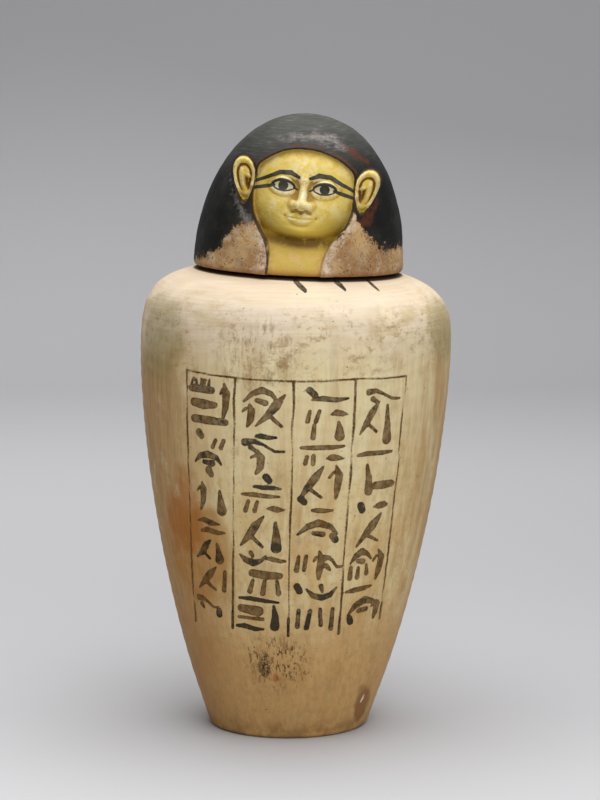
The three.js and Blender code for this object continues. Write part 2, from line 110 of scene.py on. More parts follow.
class JarSettings(bpy.types.PropertyGroup):
    """The vessel's form and colours."""

    height: length_prop("Height", "From the foot to the lip", 0.2817)
    foot_radius: length_prop("Foot radius", "At the top of the rounded foot edge", 0.0493)
    belly_radius: length_prop("Belly radius", "At the widest place", 0.0949)
    belly_height: length_prop("Belly height", "Height of the widest place", 0.235)
    mouth_radius: length_prop("Mouth radius", "Inside the lip", 0.042)
    lip_width: length_prop("Lip width", "The flat ring that the lid stands on", 0.010)
    wall: length_prop("Wall", "Thickness of the wall", 0.009)
    floor: length_prop("Floor", "Thickness of the floor", 0.014)
    lean: share_prop("Lean", "Sideways run for each unit of height", 0.02)
    mouth_tilt: angle_prop("Mouth tilt", "How far the mouth is out of level", 2.2)
    ridge_depth: length_prop("Ridge depth", "Depth of the ridges left by the potter's fingers", 0.00009)
    ridge_pitch: length_prop("Ridge pitch", "Height of one ridge", 0.0085)
    wobble: length_prop("Wobble", "How far the wall is out of round", 0.0007)
    columns: IntProperty(name="Columns", description="Faces round the jar", default=322, min=24)
    seed: IntProperty(name="Seed", description="Changes the painted strokes", default=7)
    slip: colour_prop("Slip", "Cream slip on the shoulder", 228, 210, 186)
    wash: colour_prop("Wash", "Thin slip on the upper wall", 230, 210, 165)
    clay: colour_prop("Clay", "Tan clay half way down", 214, 181, 124)
    foot: colour_prop("Foot clay", "Darker clay at the foot", 201, 160, 104)
    # Ochre is painted shade at the sides, and the clay's own darker tan behind
    ochre: colour_prop("Ochre", "Darker tan at the sides and behind", 162, 111, 48)
    rust: colour_prop("Rust", "The orange patch on the left", 164, 92, 12)
    ink: colour_prop("Ink", "Thin brown paint of the strokes", 90, 58, 14)
    ink_dark: colour_prop("Dark ink", "Thick black paint of the strokes", 27, 19, 10)


class LidSettings(bpy.types.PropertyGroup):
    """The head's form and colours."""

    radius: length_prop("Radius", "Of the wig at the rim", 0.0636)
    height: length_prop("Height", "From the rim to the crown", 0.0926)
    lean: share_prop("Lean", "Sideways run of the wig for each unit of height", 0.022)
    shift: length_prop("Shift", "How far the lid stands to the right on the mouth", 0.0004)
    turn: angle_prop("Turn", "How far the head is turned to the left", 4)
    tilt: angle_prop("Tilt", "How far the face is tilted in the head", 4)
    face_shift: length_prop("Face shift", "How far the face is right of the lid's middle", 0.0045)
    edge: length_prop("Edge", "Half the width of the carved steps", 0.0009)
    columns: IntProperty(name="Columns", description="Faces round the lid", default=400, min=48)
    rows: IntProperty(name="Rows", description="Faces from the crown to the rim", default=214, min=24)
    wig: colour_prop("Wig", "Black paint", 18, 19, 17)
    # The crown's grey is rubbed paint and painted sheen
    dust_and_sheen: colour_prop("Dust", "Grey rubbed paint on the crown", 104, 104, 98)
    yellow: colour_prop("Yellow", "Paint of the face, neck and ears", 218, 188, 80)
    cream: colour_prop("Cream", "Pale paint where the yellow is worn", 247, 235, 190)
    # Ochre is paint kept in the hollows, and painted shade there and along the face's edges
    ochre: colour_prop("Ochre", "Darker paint in the hollows", 150, 108, 26)
    bare: colour_prop("Bare clay", "Tan clay without paint", 198, 162, 112)
    rust: colour_prop("Rust", "Red-brown ground under the black paint", 98, 50, 28)


# Node trees


class Nodes:
    """Short calls that add nodes to one tree. A value is a number, a colour or another node's output."""

    def __init__(self, tree):
        self.tree = tree

    def feed(self, socket, value):
        if isinstance(value, bpy.types.NodeSocket):
            self.tree.links.new(value, socket)
        elif socket.type == "RGBA" and len(value) == 3:
            socket.default_value = (*value, 1)
        else:
            socket.default_value = value

    def add(self, kind, inputs, **settings):
        node = self.tree.nodes.new(kind)
        for name, value in settings.items():
            setattr(node, name, value)
        for key, value in inputs.items():
            self.feed(node.inputs[key], value)
        return node

    def math(self, operation, *values):
        return self.add("ShaderNodeMath", dict(enumerate(values)), operation=operation).outputs[0]

    def vector(self, operation, *values):
        node = self.add("ShaderNodeVectorMath", dict(enumerate(values)), operation=operation)
        return node.outputs["Value" if operation == "LENGTH" else "Vector"]

    def plus(self, value, *terms):
        """A value with an amount of each term added, given as (term, amount)."""
        for term, amount in terms:
            value = self.math("MULTIPLY_ADD", term, amount, value)
        return value

    def both(self, *shares):
        """The product of several shares."""
        whole = shares[0]
        for share in shares[1:]:
            whole = self.math("MULTIPLY", whole, share)
        return whole

    def step(self, value, low, high):
        """0 at low and 1 at high, with a smooth way between them."""
        inputs = {"Value": value, "From Min": low, "From Max": high}
        return self.add("ShaderNodeMapRange", inputs, interpolation_type="SMOOTHSTEP").outputs[0]

    def parts(self, vector):
        return self.add("ShaderNodeSeparateXYZ", {0: vector}).outputs

    def join(self, x, y, z):
        return self.add("ShaderNodeCombineXYZ", {0: x, 1: y, 2: z}).outputs[0]

    def mix(self, share, a, b, mode="MIX"):
        node = self.add("ShaderNodeMix", {}, data_type="RGBA", blend_type=mode)
        for index, value in ((0, share), (6, a), (7, b)):
            self.feed(node.inputs[index], value)
        return node.outputs[2]


class Surface(Nodes):
    """A material's nodes, with its point on the object, its shader and the colour laid on so far."""

    def __init__(self, name):
        self.material = bpy.data.materials.new(name)
        self.material.use_nodes = True
        super().__init__(self.material.node_tree)
        self.shader = self.tree.nodes["Principled BSDF"]
        self.point = self.add("ShaderNodeTexCoord", {}).outputs["Object"]
        self.colour = None

    def attribute(self, name):
        return self.add("ShaderNodeAttribute", {}, attribute_name=name).outputs["Fac"]

    def noise(self, size, detail=3.0, roughness=0.5, stretch=(1, 1, 1)):
        """Noise from 0 to 1 whose blotches are about size metres across, times stretch."""
        scaled = self.vector("DIVIDE", self.point, tuple(size * share for share in stretch))
        inputs = {"Vector": scaled, "Scale": 1.0, "Detail": detail, "Roughness": roughness}
        return self.add("ShaderNodeTexNoise", inputs).outputs[0]

    def swing(self, *noise):
        """Noise from -0.5 to 0.5."""
        return self.math("SUBTRACT", self.noise(*noise), 0.5)

    def patches(self, low, high, *noise):
        """0 where a noise is at low and 1 where it is at high."""
        return self.step(self.noise(*noise), low, high)

    def spot(self, middle, reach, ragged, size):
        """1 near a middle and 0 past its reach in X, Y and Z, with a ragged edge."""
        away = self.vector("DIVIDE", self.vector("SUBTRACT", self.point, middle), reach)
        away = self.plus(self.vector("LENGTH", away), (self.swing(size, 4), ragged))
        return self.step(away, 1.15, 0.65)

    def coat(self, share, over, amount=1.0):
        """Lays a colour over what is there, where share is 1 and no thicker than amount."""
        self.colour = self.mix(self.math("MULTIPLY", share, amount), self.colour, over)

    def finish(self, roughness, specular, height, depth):
        """Feeds the shader. A height of 1 stands for a relief of depth metres."""
        bump = self.add("ShaderNodeBump", {"Height": height, "Strength": 1.0, "Distance": depth})
        inputs = {"Roughness": roughness, "Specular IOR Level": specular, "Normal": bump.outputs[0]}
        for name, value in {"Base Color": self.colour, **inputs}.items():
            self.feed(self.shader.inputs[name], value)
        return self.material


# Shared shapes


def smooth(value, low, high):
    """0 below low and 1 above high, with a smooth way between them."""
    share = np.clip((value - low) / (high - low), 0, 1)
    return share * share * (3 - 2 * share)


def bell(x, middle, width):
    return np.exp(-(((x - middle) / width) ** 2))


def dab(u, v, u0, v0, width, height):
    return bell(u, u0, width) * bell(v, v0, height)


def smooth_max(a, b, width):
    share = np.clip(0.5 + 0.5 * (a - b) / width, 0, 1)
    return b + (a - b) * share + width * share * (1 - share)


def track(place, pairs):
    """A smooth curve through (place, value) pairs that never overshoots them."""
    x = np.array([pair[0] for pair in pairs], float)
    y = np.array([pair[1] for pair in pairs], float)
    rise = np.diff(y) / np.diff(x)
    slope = np.concatenate([[rise[0]], np.zeros(len(x) - 2), [rise[-1]]])
    same = rise[:-1] * rise[1:] > 0
    slope[1:-1][same] = (2 * rise[:-1] * rise[1:] / np.where(same, rise[:-1] + rise[1:], 1))[same]
    at = np.clip(place, x[0], x[-1])
    i = np.clip(np.searchsorted(x, at, side="right") - 1, 0, len(x) - 2)
    width = x[i + 1] - x[i]
    t = (at - x[i]) / width
    start = (1 + 2 * t) * (1 - t) ** 2 * y[i] + t * (1 - t) ** 2 * width * slope[i]
    return start + t * t * (3 - 2 * t) * y[i + 1] + t * t * (t - 1) * width * slope[i + 1]


def spread(count, low, high, density):
    """Values from low to high, packed closer where density is larger."""
    fine = np.linspace(low, high, 4001)
    sums = np.concatenate([[0], np.cumsum(density((fine[1:] + fine[:-1]) / 2))])
    return np.interp(np.linspace(0, sums[-1], count), sums, fine)


def uneven(points, size, seed):
    """Gentle hand-made unevenness, about -1 to 1, with waves about size long."""
    draw = np.random.default_rng(seed)
    total = np.zeros(len(points))
    for _ in range(9):
        way = draw.normal(size=3)
        way *= 2 * math.pi / (size * draw.uniform(0.7, 1.6)) / np.linalg.norm(way)
        total += np.sin(points @ way + draw.uniform(0, 2 * math.pi))
    return total / 4


def bezier(corners, count):
    t = np.linspace(0, 1, count)[:, None]
    a, b, c, d = (np.array(corner, float) for corner in corners)
    return (1 - t) ** 3 * a + 3 * (1 - t) ** 2 * t * b + 3 * (1 - t) * t**2 * c + t**3 * d


def evenly(line, step):
    """The same line with points about step apart, where step may follow the height."""
    gaps = np.linalg.norm(np.diff(line, axis=0), axis=1)
    middles = (line[1:, 1] + line[:-1, 1]) / 2
    sums = np.concatenate([[0], np.cumsum(gaps / step(middles))])
    wanted = np.linspace(0, sums[-1], max(int(round(sums[-1])), 2) + 1)
    return np.column_stack([np.interp(wanted, sums, line[:, k]) for k in (0, 1)])


def dress(piece, node, material):
    """Gives a finished piece its material, hangs it under the root body, and hides the frame's part that it
    stands for.
    """
    piece.data.materials.clear()
    piece.data.materials.append(material)
    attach(piece, "root")
    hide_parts(node)


def store(mesh, name, values):
    layer = mesh.attributes.new(name, "FLOAT", "POINT")
    layer.data.foreach_set("value", np.asarray(values, np.float32))


def stored(mesh, name):
    values = np.empty(len(mesh.vertices))
    mesh.attributes[name].data.foreach_get("value", values)
    return values


def points_of(mesh):
    flat = np.empty(len(mesh.vertices) * 3)
    mesh.vertices.foreach_get("co", flat)
    return flat.reshape(-1, 3)


# The jar

FOOT_EDGE = 0.0032
LIP_EDGE = 0.0014
# The wall's rows are closer where the strokes are painted, and far apart in the unseen hollow
PANEL_ROWS = (0.060, 0.234)
PANEL_STEP = 0.00105
WALL_STEP = 0.0017
HOLLOW_STEP = 0.008
# How much closer the wall's columns are in front than behind
FRONT_SHARE = 0.42
# The curves' inner corners, as shares of the swell and the height, and above of the rise and the run
BODY_SWELL, BODY_LOW, BODY_HIGH = 0.66, 0.327, 0.776
SHOULDER_RISE, SHOULDER_RUN, SHOULDER_DROP = 0.59, 0.9, 0.15
# More than the noise of the lumps ever reaches, so that the wall only goes inwards
MOST_LUMP = 1.3


def jar_outline(form):
    """The wall from the foot to the lip as (radius, height) points."""
    foot, belly, lip = form.foot_radius, form.belly_radius, form.mouth_radius + form.lip_width
    low, middle, top = FOOT_EDGE, form.belly_height, form.height
    swell, rise, run = belly - foot, top - middle, belly - lip
    leaving, nearing = (foot + BODY_SWELL * swell, BODY_LOW * middle), (belly, BODY_HIGH * middle)
    body = [(foot, low), leaving, nearing, (belly, middle)]
    above = (belly, middle + SHOULDER_RISE * rise)
    beside = (lip + SHOULDER_RUN * run, top - SHOULDER_DROP * rise)
    shoulder = [(belly, middle), above, beside, (lip, top)]
    return np.vstack([bezier(body, 400), bezier(shoulder, 200)[1:]])


def hollow_outline(form, outline):
    """The inside of the wall, one wall's thickness in from the outline, between the floor and the lip."""
    coarse = evenly(outline, lambda z: np.full_like(z, HOLLOW_STEP))
    along = np.gradient(coarse, axis=0)
    along /= np.linalg.norm(along, axis=1)[:, None]
    inner = coarse + form.wall * np.column_stack([-along[:, 1], along[:, 0]])
    corner = 0.5 * form.wall
    keep = (inner[:, 1] > form.floor + corner) & (inner[:, 1] < form.height - form.wall - 0.0002)
    return inner[keep & (inner[:, 0] > form.mouth_radius + corner)]


def jar_profile(form):
    """The section: under the foot, up the wall, over the lip and down the hollow, as (radius, height)."""
    outline = jar_outline(form)
    low, high = PANEL_ROWS
    wall = evenly(outline, lambda z: np.where((z > low) & (z < high), PANEL_STEP, WALL_STEP))
    foot = form.foot_radius
    turn = np.linspace(0, math.pi / 2, 6)[:-1]
    edge = np.column_stack([foot - FOOT_EDGE + FOOT_EDGE * np.sin(turn), FOOT_EDGE * (1 - np.cos(turn))])
    under = np.column_stack([np.linspace(0, foot - FOOT_EDGE, 9)[:-1], np.zeros(8)])
    lip = form.mouth_radius + LIP_EDGE * (1 - np.sin(turn))
    lip_edge = np.column_stack([lip, form.height - LIP_EDGE + LIP_EDGE * np.cos(turn)])
    corner = 0.5 * form.wall
    under_lip = form.height - form.wall
    mouth = form.mouth_radius
    throat = [(mouth, under_lip + LIP_EDGE), (mouth + 0.5 * form.lip_width, under_lip)]
    inner = hollow_outline(form, outline)[::-1]
    side = foot - form.wall
    floor = [(side, form.floor + 0.4 * corner), (side - corner, form.floor), (0, form.floor)]
    return np.vstack([under, edge, wall, lip_edge, throat, inner, floor])


TURNING_INPUTS = (
    ("Columns", "NodeSocketInt"),
    ("Rows", "NodeSocketInt"),
    ("Front share", "NodeSocketFloat"),
    ("Lean", "NodeSocketFloat"),
    ("Mouth slope", "NodeSocketFloat"),
    ("Slope from", "NodeSocketFloat"),
    ("Slope to", "NodeSocketFloat"),
    ("Ridge depth", "NodeSocketFloat"),
    ("Ridge pitch", "NodeSocketFloat"),
    ("Wobble", "NodeSocketFloat"),
    ("Material", "NodeSocketMaterial"),
)


def bearing(n, t, front_share):
    """The turn round the wheel, for t from -1 behind, through 0 in front, to 1 behind again."""
    cubed = n.math("MULTIPLY", n.math("MULTIPLY", t, n.math("MULTIPLY", t, t)), front_share)
    even = n.math("MULTIPLY", t, n.math("SUBTRACT", 1.0, front_share))
    return n.math("MULTIPLY", n.math("ADD", even, cubed), math.pi)


def section_place(n, given, share):
    """The section's place, with the radius in X and the height in Z, for a share of its rows from -1 to 1."""
    last = n.math("SUBTRACT", given["Rows"], 1.0)
    row = n.math("ROUND", n.math("MULTIPLY", n.math("MULTIPLY_ADD", share, 0.5, 0.5), last))
    position = n.add("GeometryNodeInputPosition", {}).outputs[0]
    section = n.add(
        "GeometryNodeSampleIndex",
        {"Geometry": given["Section"], "Value": position, "Index": row},
        data_type="FLOAT_VECTOR",
        domain="POINT",
    )
    return n.parts(section.outputs[0])


def thrown_radius(n, given, radius, height, around):
    """The radius of a wall a little out of round, always inwards, and ridged by the potter's fingers."""
    lump = n.add("ShaderNodeTexNoise", {"Vector": around, "Scale": 0.9, "Detail": 1.0}).outputs[0]
    slow = n.add("ShaderNodeTexNoise", {"Vector": around, "Scale": 2.2, "Detail": 0.0}).outputs[0]
    phase = n.math("ADD", n.math("DIVIDE", height, given["Ridge pitch"]), n.math("MULTIPLY", slow, 2.0))
    ridge = n.math("MULTIPLY", n.math("SINE", n.math("MULTIPLY", phase, 2 * math.pi)), given["Ridge depth"])
    bulge = n.math("MULTIPLY_ADD", n.math("SUBTRACT", lump, MOST_LUMP), given["Wobble"], ridge)
    free = n.math("MULTIPLY", n.step(height, 0.002, 0.02), n.step(radius, 0.0, 0.02))
    return n.math("MULTIPLY_ADD", bulge, free, radius)


def turning_tree():
    """Turns a section of edges, in X and Z, round the Z axis as a wheel does, closer at the front."""
    tree = bpy.data.node_groups.new("turned_vessel", "GeometryNodeTree")
    tree.interface.new_socket("Section", in_out="INPUT", socket_type="NodeSocketGeometry")
    for name, kind in TURNING_INPUTS:
        tree.interface.new_socket(name, in_out="INPUT", socket_type=kind)
    tree.interface.new_socket("Vessel", in_out="OUTPUT", socket_type="NodeSocketGeometry")
    n = Nodes(tree)
    given = n.add("NodeGroupInput", {}).outputs
    across = n.math("ADD", given["Columns"], 1.0)
    counts = {"Size X": 2.0, "Size Y": 2.0, "Vertices X": across, "Vertices Y": given["Rows"]}
    sheet = n.add("GeometryNodeMeshGrid", counts).outputs[0]
    place = n.parts(n.add("GeometryNodeInputPosition", {}).outputs[0])
    turn = bearing(n, place[0], given["Front share"])
    section = section_place(n, given, place[1])
    height = section[2]
    sine, cosine = n.math("SINE", turn), n.math("COSINE", turn)
    around = n.join(sine, cosine, n.math("MULTIPLY", height, 9.0))
    radius = thrown_radius(n, given, section[0], height, around)
    x = n.math("MULTIPLY", radius, sine)
    y = n.math("MULTIPLY", n.math("MULTIPLY", radius, cosine), -1.0)
    slope = n.math("MULTIPLY", given["Mouth slope"], n.step(height, given["Slope from"], given["Slope to"]))
    z = n.math("SUBTRACT", height, n.math("MULTIPLY", slope, x))
    turned = n.join(n.math("MULTIPLY_ADD", height, given["Lean"], x), y, z)
    for name, value in (("turn", turn), ("level", height)):
        inputs = {"Geometry": sheet, "Name": name, "Value": value}
        sheet = n.add("GeometryNodeStoreNamedAttribute", inputs, data_type="FLOAT", domain="POINT").outputs[0]
    for kind, inputs in (
        ("SetPosition", {"Position": turned}),
        ("MergeByDistance", {"Distance": 1e-6}),
        ("SetShadeSmooth", {}),
        ("RealizeInstances", {}),
        ("SetMaterial", {"Material": given["Material"]}),
    ):
        sheet = n.add("GeometryNode" + kind, {"Geometry": sheet, **inputs}).outputs[0]
    n.add("NodeGroupOutput", {0: sheet})
    return tree


def turned_vessel(form, material):
    """The jar's mesh, from its section and the turning tree."""
    profile = jar_profile(form)
    section = bpy.data.meshes.new("jar_section")
    corners = [(radius, 0, height) for radius, height in profile]
    section.from_pydata(corners, [(i, i + 1) for i in range(len(corners) - 1)], [])
    maker = bpy.data.objects.new("jar_maker", section)
    bpy.context.scene.collection.objects.link(maker)
    tree = turning_tree()
    turning = maker.modifiers.new("Turning", "NODES")
    turning.node_group = tree
    values = {
        "Columns": form.columns,
        "Rows": len(profile),
        "Front share": FRONT_SHARE,
        "Lean": form.lean,
        "Mouth slope": math.tan(form.mouth_tilt),
        "Slope from": form.belly_height,
        "Slope to": form.height - form.wall,
        "Ridge depth": form.ridge_depth,
        "Ridge pitch": form.ridge_pitch,
        "Wobble": form.wobble,
        "Material": material,
    }
    for socket in tree.interface.items_tree:
        if socket.name in values:
            turning[socket.identifier] = values[socket.name]
    evaluated = maker.evaluated_get(bpy.context.evaluated_depsgraph_get())
    mesh = bpy.data.meshes.new_from_object(evaluated)
    maker.modifiers.clear()
    bpy.data.objects.remove(maker)
    mesh.name = "painted_jar"
    return mesh


# The panel of strokes on the jar's front. Places run in millimetres along the wall: s sideways from the
# middle of the front, z up. Each line between columns is given by its ends, as read off the photo.

LINES_TOP = ((-71.0, 227.5), (-36.4, 225.2), (-1.5, 224.0), (36.4, 224.5), (72.0, 223.7))
LINES_FOOT = ((-67.2, 71.3), (-36.5, 71.3), (-1.6, 68.3), (29.5, 68.2), (60.6, 73.7))
LINE_HALF_WIDTH = 0.72
INK_SPREAD = 1.22
TICK_TONE = 0.8
# The share of a column that is left free at each side
CELL_MARGIN = 0.03
# The flake that is gone near the foot, as a stroke, and how deep it is in metres
CHIP = ((51.0, 18.8, 0.5), (52.6, 21.0, 1.3), (54.4, 23.6, 0.5))
CHIP_DEPTH = 0.0007

# Each mark is a list of strokes in a unit cell. A stroke is a list of (across, down, half width in mm).
MARKS = {
    "bar": [[(0.04, 0.5, 0.8), (0.3, 0.42, 1.4), (0.7, 0.54, 1.2), (0.97, 0.5, 0.7)]],
    "heavy": [[(0.08, 0.46, 2.0), (0.5, 0.52, 2.4), (0.92, 0.46, 1.8)]],
    "blade": [
        [(0.9, 0.02, 0.6), (0.64, 0.33, 2.3), (0.4, 0.64, 1.9), (0.1, 0.98, 0.6)],
        [(0.5, 0.7, 1.0), (0.84, 0.94, 0.8)],
    ],
    "plume": [
        [(0.42, 0.0, 0.6), (0.6, 0.3, 2.2), (0.56, 0.7, 1.9), (0.4, 1.0, 0.9)],
        [(0.1, 0.34, 0.7), (0.3, 0.2, 0.9)],
    ],
    "wedge": [[(0.35, 0.04, 0.8), (0.45, 0.5, 1.9), (0.5, 0.92, 2.8)]],
    "dabs": [
        [(0.16, 0.1, 1.0), (0.1, 0.85, 1.4)],
        [(0.5, 0.14, 1.1), (0.46, 0.9, 1.3)],
        [(0.82, 0.08, 0.9), (0.88, 0.82, 1.3)],
    ],
    "pair": [[(0.3, 0.1, 1.0), (0.2, 0.85, 1.3)], [(0.76, 0.14, 1.1), (0.64, 0.86, 1.2)]],
    "hatch": [[(x, 0.1, 0.8), (x - 0.04, 0.55, 0.9)] for x in (0.14, 0.3, 0.47, 0.62, 0.8)]
    + [[(0.06, 0.78, 1.8), (0.88, 0.74, 1.9)]],
    "blot": [[(0.42, 0.34, 2.0), (0.58, 0.64, 1.8)]],
    "lens": [[(0.03, 0.5, 0.4), (0.32, 0.44, 1.6), (0.62, 0.52, 1.7), (0.97, 0.56, 0.4)]],
    "slab": [[(0.14, 0.3, 2.3), (0.76, 0.32, 2.6)], [(0.08, 0.84, 0.8), (0.88, 0.82, 1.0)]],
    "crescent": [
        [(0.05, 0.82, 0.6), (0.26, 0.4, 1.5), (0.52, 0.24, 1.9), (0.78, 0.4, 1.4), (0.96, 0.8, 0.6)],
        [(0.38, 0.74, 1.2), (0.62, 0.8, 1.5)],
    ],
    "bowl": [
        [(0.04, 0.2, 0.6), (0.28, 0.6, 1.5), (0.55, 0.72, 1.8), (0.8, 0.56, 1.3), (0.97, 0.16, 0.6)],
        [(0.46, 0.06, 1.2), (0.56, 0.3, 1.0)],
    ],
    "tail": [
        [(0.08, 0.3, 1.9), (0.28, 0.26, 1.3), (0.52, 0.48, 0.8), (0.74, 0.82, 0.8), (0.96, 0.84, 0.7)],
        [(0.2, 0.7, 1.4), (0.36, 0.98, 0.9)],
    ],
    "post": [[(0.5, 0.03, 1.2), (0.46, 0.97, 1.5)]],
}

# For each column: the mark, how many millimetres below the top line it starts and how tall it is, the share
# of the column that it starts and ends at, and how dark it is.
COLUMNS = (
    (
        ("hatch", 3, 9, 0.06, 0.62, 0.5), ("plume", 4, 21, 0.7, 0.98, 0.55),
        ("heavy", 15, 7, 0.07, 0.66, 0.5), ("heavy", 25, 6, 0.06, 0.9, 0.55),
        ("blot", 33, 8, 0.12, 0.42, 0.45), ("pair", 38, 7, 0.5, 0.92, 0.4),
        ("crescent", 46, 10, 0.12, 0.8, 0.7), ("blot", 56, 7, 0.34, 0.66, 0.6),
        ("plume", 66, 17, 0.14, 0.5, 0.6), ("wedge", 70, 13, 0.6, 0.95, 0.5),
        ("lens", 86, 9, 0.15, 0.75, 0.4), ("bar", 94, 4, 0.25, 0.85, 0.35),
        ("blade", 101, 13, 0.1, 0.55, 0.75), ("wedge", 103, 11, 0.56, 0.86, 0.6),
        ("blade", 118, 16, 0.08, 0.7, 0.5), ("post", 120, 13, 0.74, 0.95, 0.6),
        ("tail", 137, 9, 0.08, 0.7, 0.4), ("blot", 144, 7, 0.54, 0.84, 0.8),
    ),
    (
        ("crescent", 3, 13, 0.1, 0.8, 0.35), ("blade", 8, 20, 0.3, 0.95, 0.42),
        ("plume", 15, 13, 0.1, 0.4, 0.35), ("bar", 31, 5, 0.35, 0.75, 0.9),
        ("tail", 35, 8, 0.1, 0.94, 0.75), ("plume", 42, 14, 0.26, 0.62, 0.4),
        ("blot", 54, 9, 0.44, 0.76, 1.0), ("bar", 62, 4, 0.34, 0.86, 0.95), ("bar", 67, 4, 0.1, 0.85, 0.35),
        ("pair", 72, 8, 0.14, 0.5, 0.45), ("lens", 74, 5, 0.6, 0.94, 0.4),
        ("blade", 81, 20, 0.06, 0.6, 0.62), ("wedge", 84, 17, 0.64, 0.94, 0.75),
        ("bowl", 104, 9, 0.06, 0.6, 0.6), ("bar", 105, 5, 0.58, 0.97, 0.5),
        ("heavy", 114, 6, 0.3, 0.9, 0.5), ("dabs", 120, 10, 0.24, 0.92, 0.55),
        ("bar", 131, 5, 0.06, 0.88, 0.95), ("slab", 137, 10, 0.06, 0.6, 0.42),
        ("wedge", 136, 14, 0.66, 0.94, 1.0), ("bar", 149, 5, 0.03, 0.6, 0.95),
    ),
    (
        ("blot", 3, 8, 0.14, 0.42, 0.8), ("bar", 8, 6, 0.24, 0.92, 0.7), ("pair", 17, 8, 0.14, 0.5, 0.4),
        ("lens", 17, 6, 0.6, 0.96, 0.4), ("post", 26, 8, 0.22, 0.46, 0.45),
        ("wedge", 24, 10, 0.62, 0.96, 0.5), ("bar", 37, 5, 0.1, 0.92, 0.5),
        ("pair", 44, 6, 0.14, 0.44, 0.4), ("lens", 44, 5, 0.55, 0.9, 0.3),
        ("blade", 51, 20, 0.06, 0.6, 0.6), ("blot", 68, 7, 0.04, 0.3, 1.0),
        ("plume", 51, 20, 0.62, 0.96, 0.42), ("bar", 76, 4, 0.35, 0.75, 0.5),
        ("crescent", 82, 13, 0.06, 0.9, 0.6), ("blot", 91, 7, 0.64, 0.94, 0.5),
        ("pair", 104, 12, 0.04, 0.36, 0.6), ("plume", 103, 17, 0.4, 0.68, 0.5),
        ("tail", 104, 11, 0.6, 0.98, 0.45), ("blot", 122, 8, 0.02, 0.26, 0.85),
        ("bowl", 124, 11, 0.26, 0.92, 0.62), ("dabs", 138, 14, 0.08, 0.7, 0.85),
        ("post", 139, 13, 0.76, 0.96, 0.6),
    ),
    (
        ("tail", 5, 10, 0.16, 0.94, 0.55), ("blade", 14, 20, 0.06, 0.5, 0.5),
        ("wedge", 16, 24, 0.52, 0.86, 0.45), ("bar", 43, 6, 0.06, 0.88, 0.5),
        ("wedge", 52, 18, 0.2, 0.54, 0.45), ("heavy", 63, 7, 0.5, 0.92, 0.4),
        ("blot", 74, 10, 0.08, 0.42, 1.0), ("lens", 77, 5, 0.52, 0.9, 0.4),
        ("blade", 84, 19, 0.14, 0.8, 0.5), ("crescent", 104, 11, 0.08, 0.6, 0.5),
        ("dabs", 115, 8, 0.06, 0.56, 0.4), ("plume", 108, 19, 0.62, 0.96, 0.5),
        ("bar", 128, 5, 0.04, 0.7, 0.45), ("crescent", 136, 12, 0.12, 0.88, 0.6),
        ("plume", 141, 12, 0.7, 0.98, 0.5), ("blot", 146, 7, 0.06, 0.34, 0.95),
    ),
)

# Three ticks on the shoulder under the lid, each a stroke of (s, z, half width) in mm
SHOULDER_TICKS = (
    ((-1.6, 279.2, 1.1), (1.9, 276.8, 1.3), (4.4, 274.9, 1.1)),
    ((22.6, 279.4, 0.9), (26.2, 277.6, 1.1), (28.8, 275.6, 0.7)),
    ((45.6, 279.4, 0.7), (48.6, 277.4, 0.9), (52.4, 274.8, 0.4)),
)


def line_place(index, share):
    """Where a line between columns is at a share of the way down, in mm along the wall."""
    (top_s, top_z), (foot_s, foot_z) = LINES_TOP[index], LINES_FOOT[index]
    return top_s + (foot_s - top_s) * share, top_z + (foot_z - top_z) * share


def cell_place(column, across, share):
    left, right = line_place(column, share), line_place(column + 1, share)
    return left[0] + (right[0] - left[0]) * across, left[1] + (right[1] - left[1]) * across


def ruled_lines(draw):
    """The lines between the columns, darker at the foot, and the line along the top."""
    strokes = []
    last = len(LINES_TOP) - 1
    for index in range(last + 1):
        places = [line_place(index, share) for share in np.linspace(0.0, 1.0, 12)]
        line = [(s + draw.normal(0, 0.3), z, LINE_HALF_WIDTH * draw.uniform(0.5, 1.3)) for s, z in places]
        strokes.append((line, 0.3))
        foot = [(*line_place(index, share), 0.9) for share in (0.93, 1.0)]
        strokes.append((foot, 0.85 if 0 < index < last else 0.4))
    for (s0, z0), (s1, z1) in zip(LINES_TOP[:-1], LINES_TOP[1:]):
        middle = ((s0 + s1) / 2, (z0 + z1) / 2 - 0.3, 0.6)
        strokes.append(([(s0, z0, 0.6), middle, (s1, z1, 0.7)], 0.45))
    return strokes


def painted_mark(draw, column, mark):
    """One mark's strokes in its column, with the small errors of a hand."""
    name, below, height, start, end, tone = mark
    length = LINES_TOP[column][1] - LINES_FOOT[column][1]
    tone = min(max(tone + draw.normal(0, 0.04), 0.15), 1.0)
    strokes = []
    for stroke in MARKS[name]:
        points = []
        for across, down, half in stroke:
            sideways = start + (end - start) * across + draw.normal(0, 0.012)
            share = (below + height * down + draw.normal(0, 0.25)) / length
            s, z = cell_place(column, CELL_MARGIN + (1 - 2 * CELL_MARGIN) * sideways, share)
            points.append((s, z, half * INK_SPREAD * draw.uniform(0.85, 1.1)))
        strokes.append((points, tone))
    return strokes


def panel_strokes(draw):
    """Every stroke of the panel as (points, tone), with points as (s, z, half width) in mm."""
    strokes = ruled_lines(draw)
    for column, marks in enumerate(COLUMNS):
        for mark in marks:
            strokes += painted_mark(draw, column, mark)
    return strokes + [(tick, TICK_TONE) for tick in SHOULDER_TICKS]


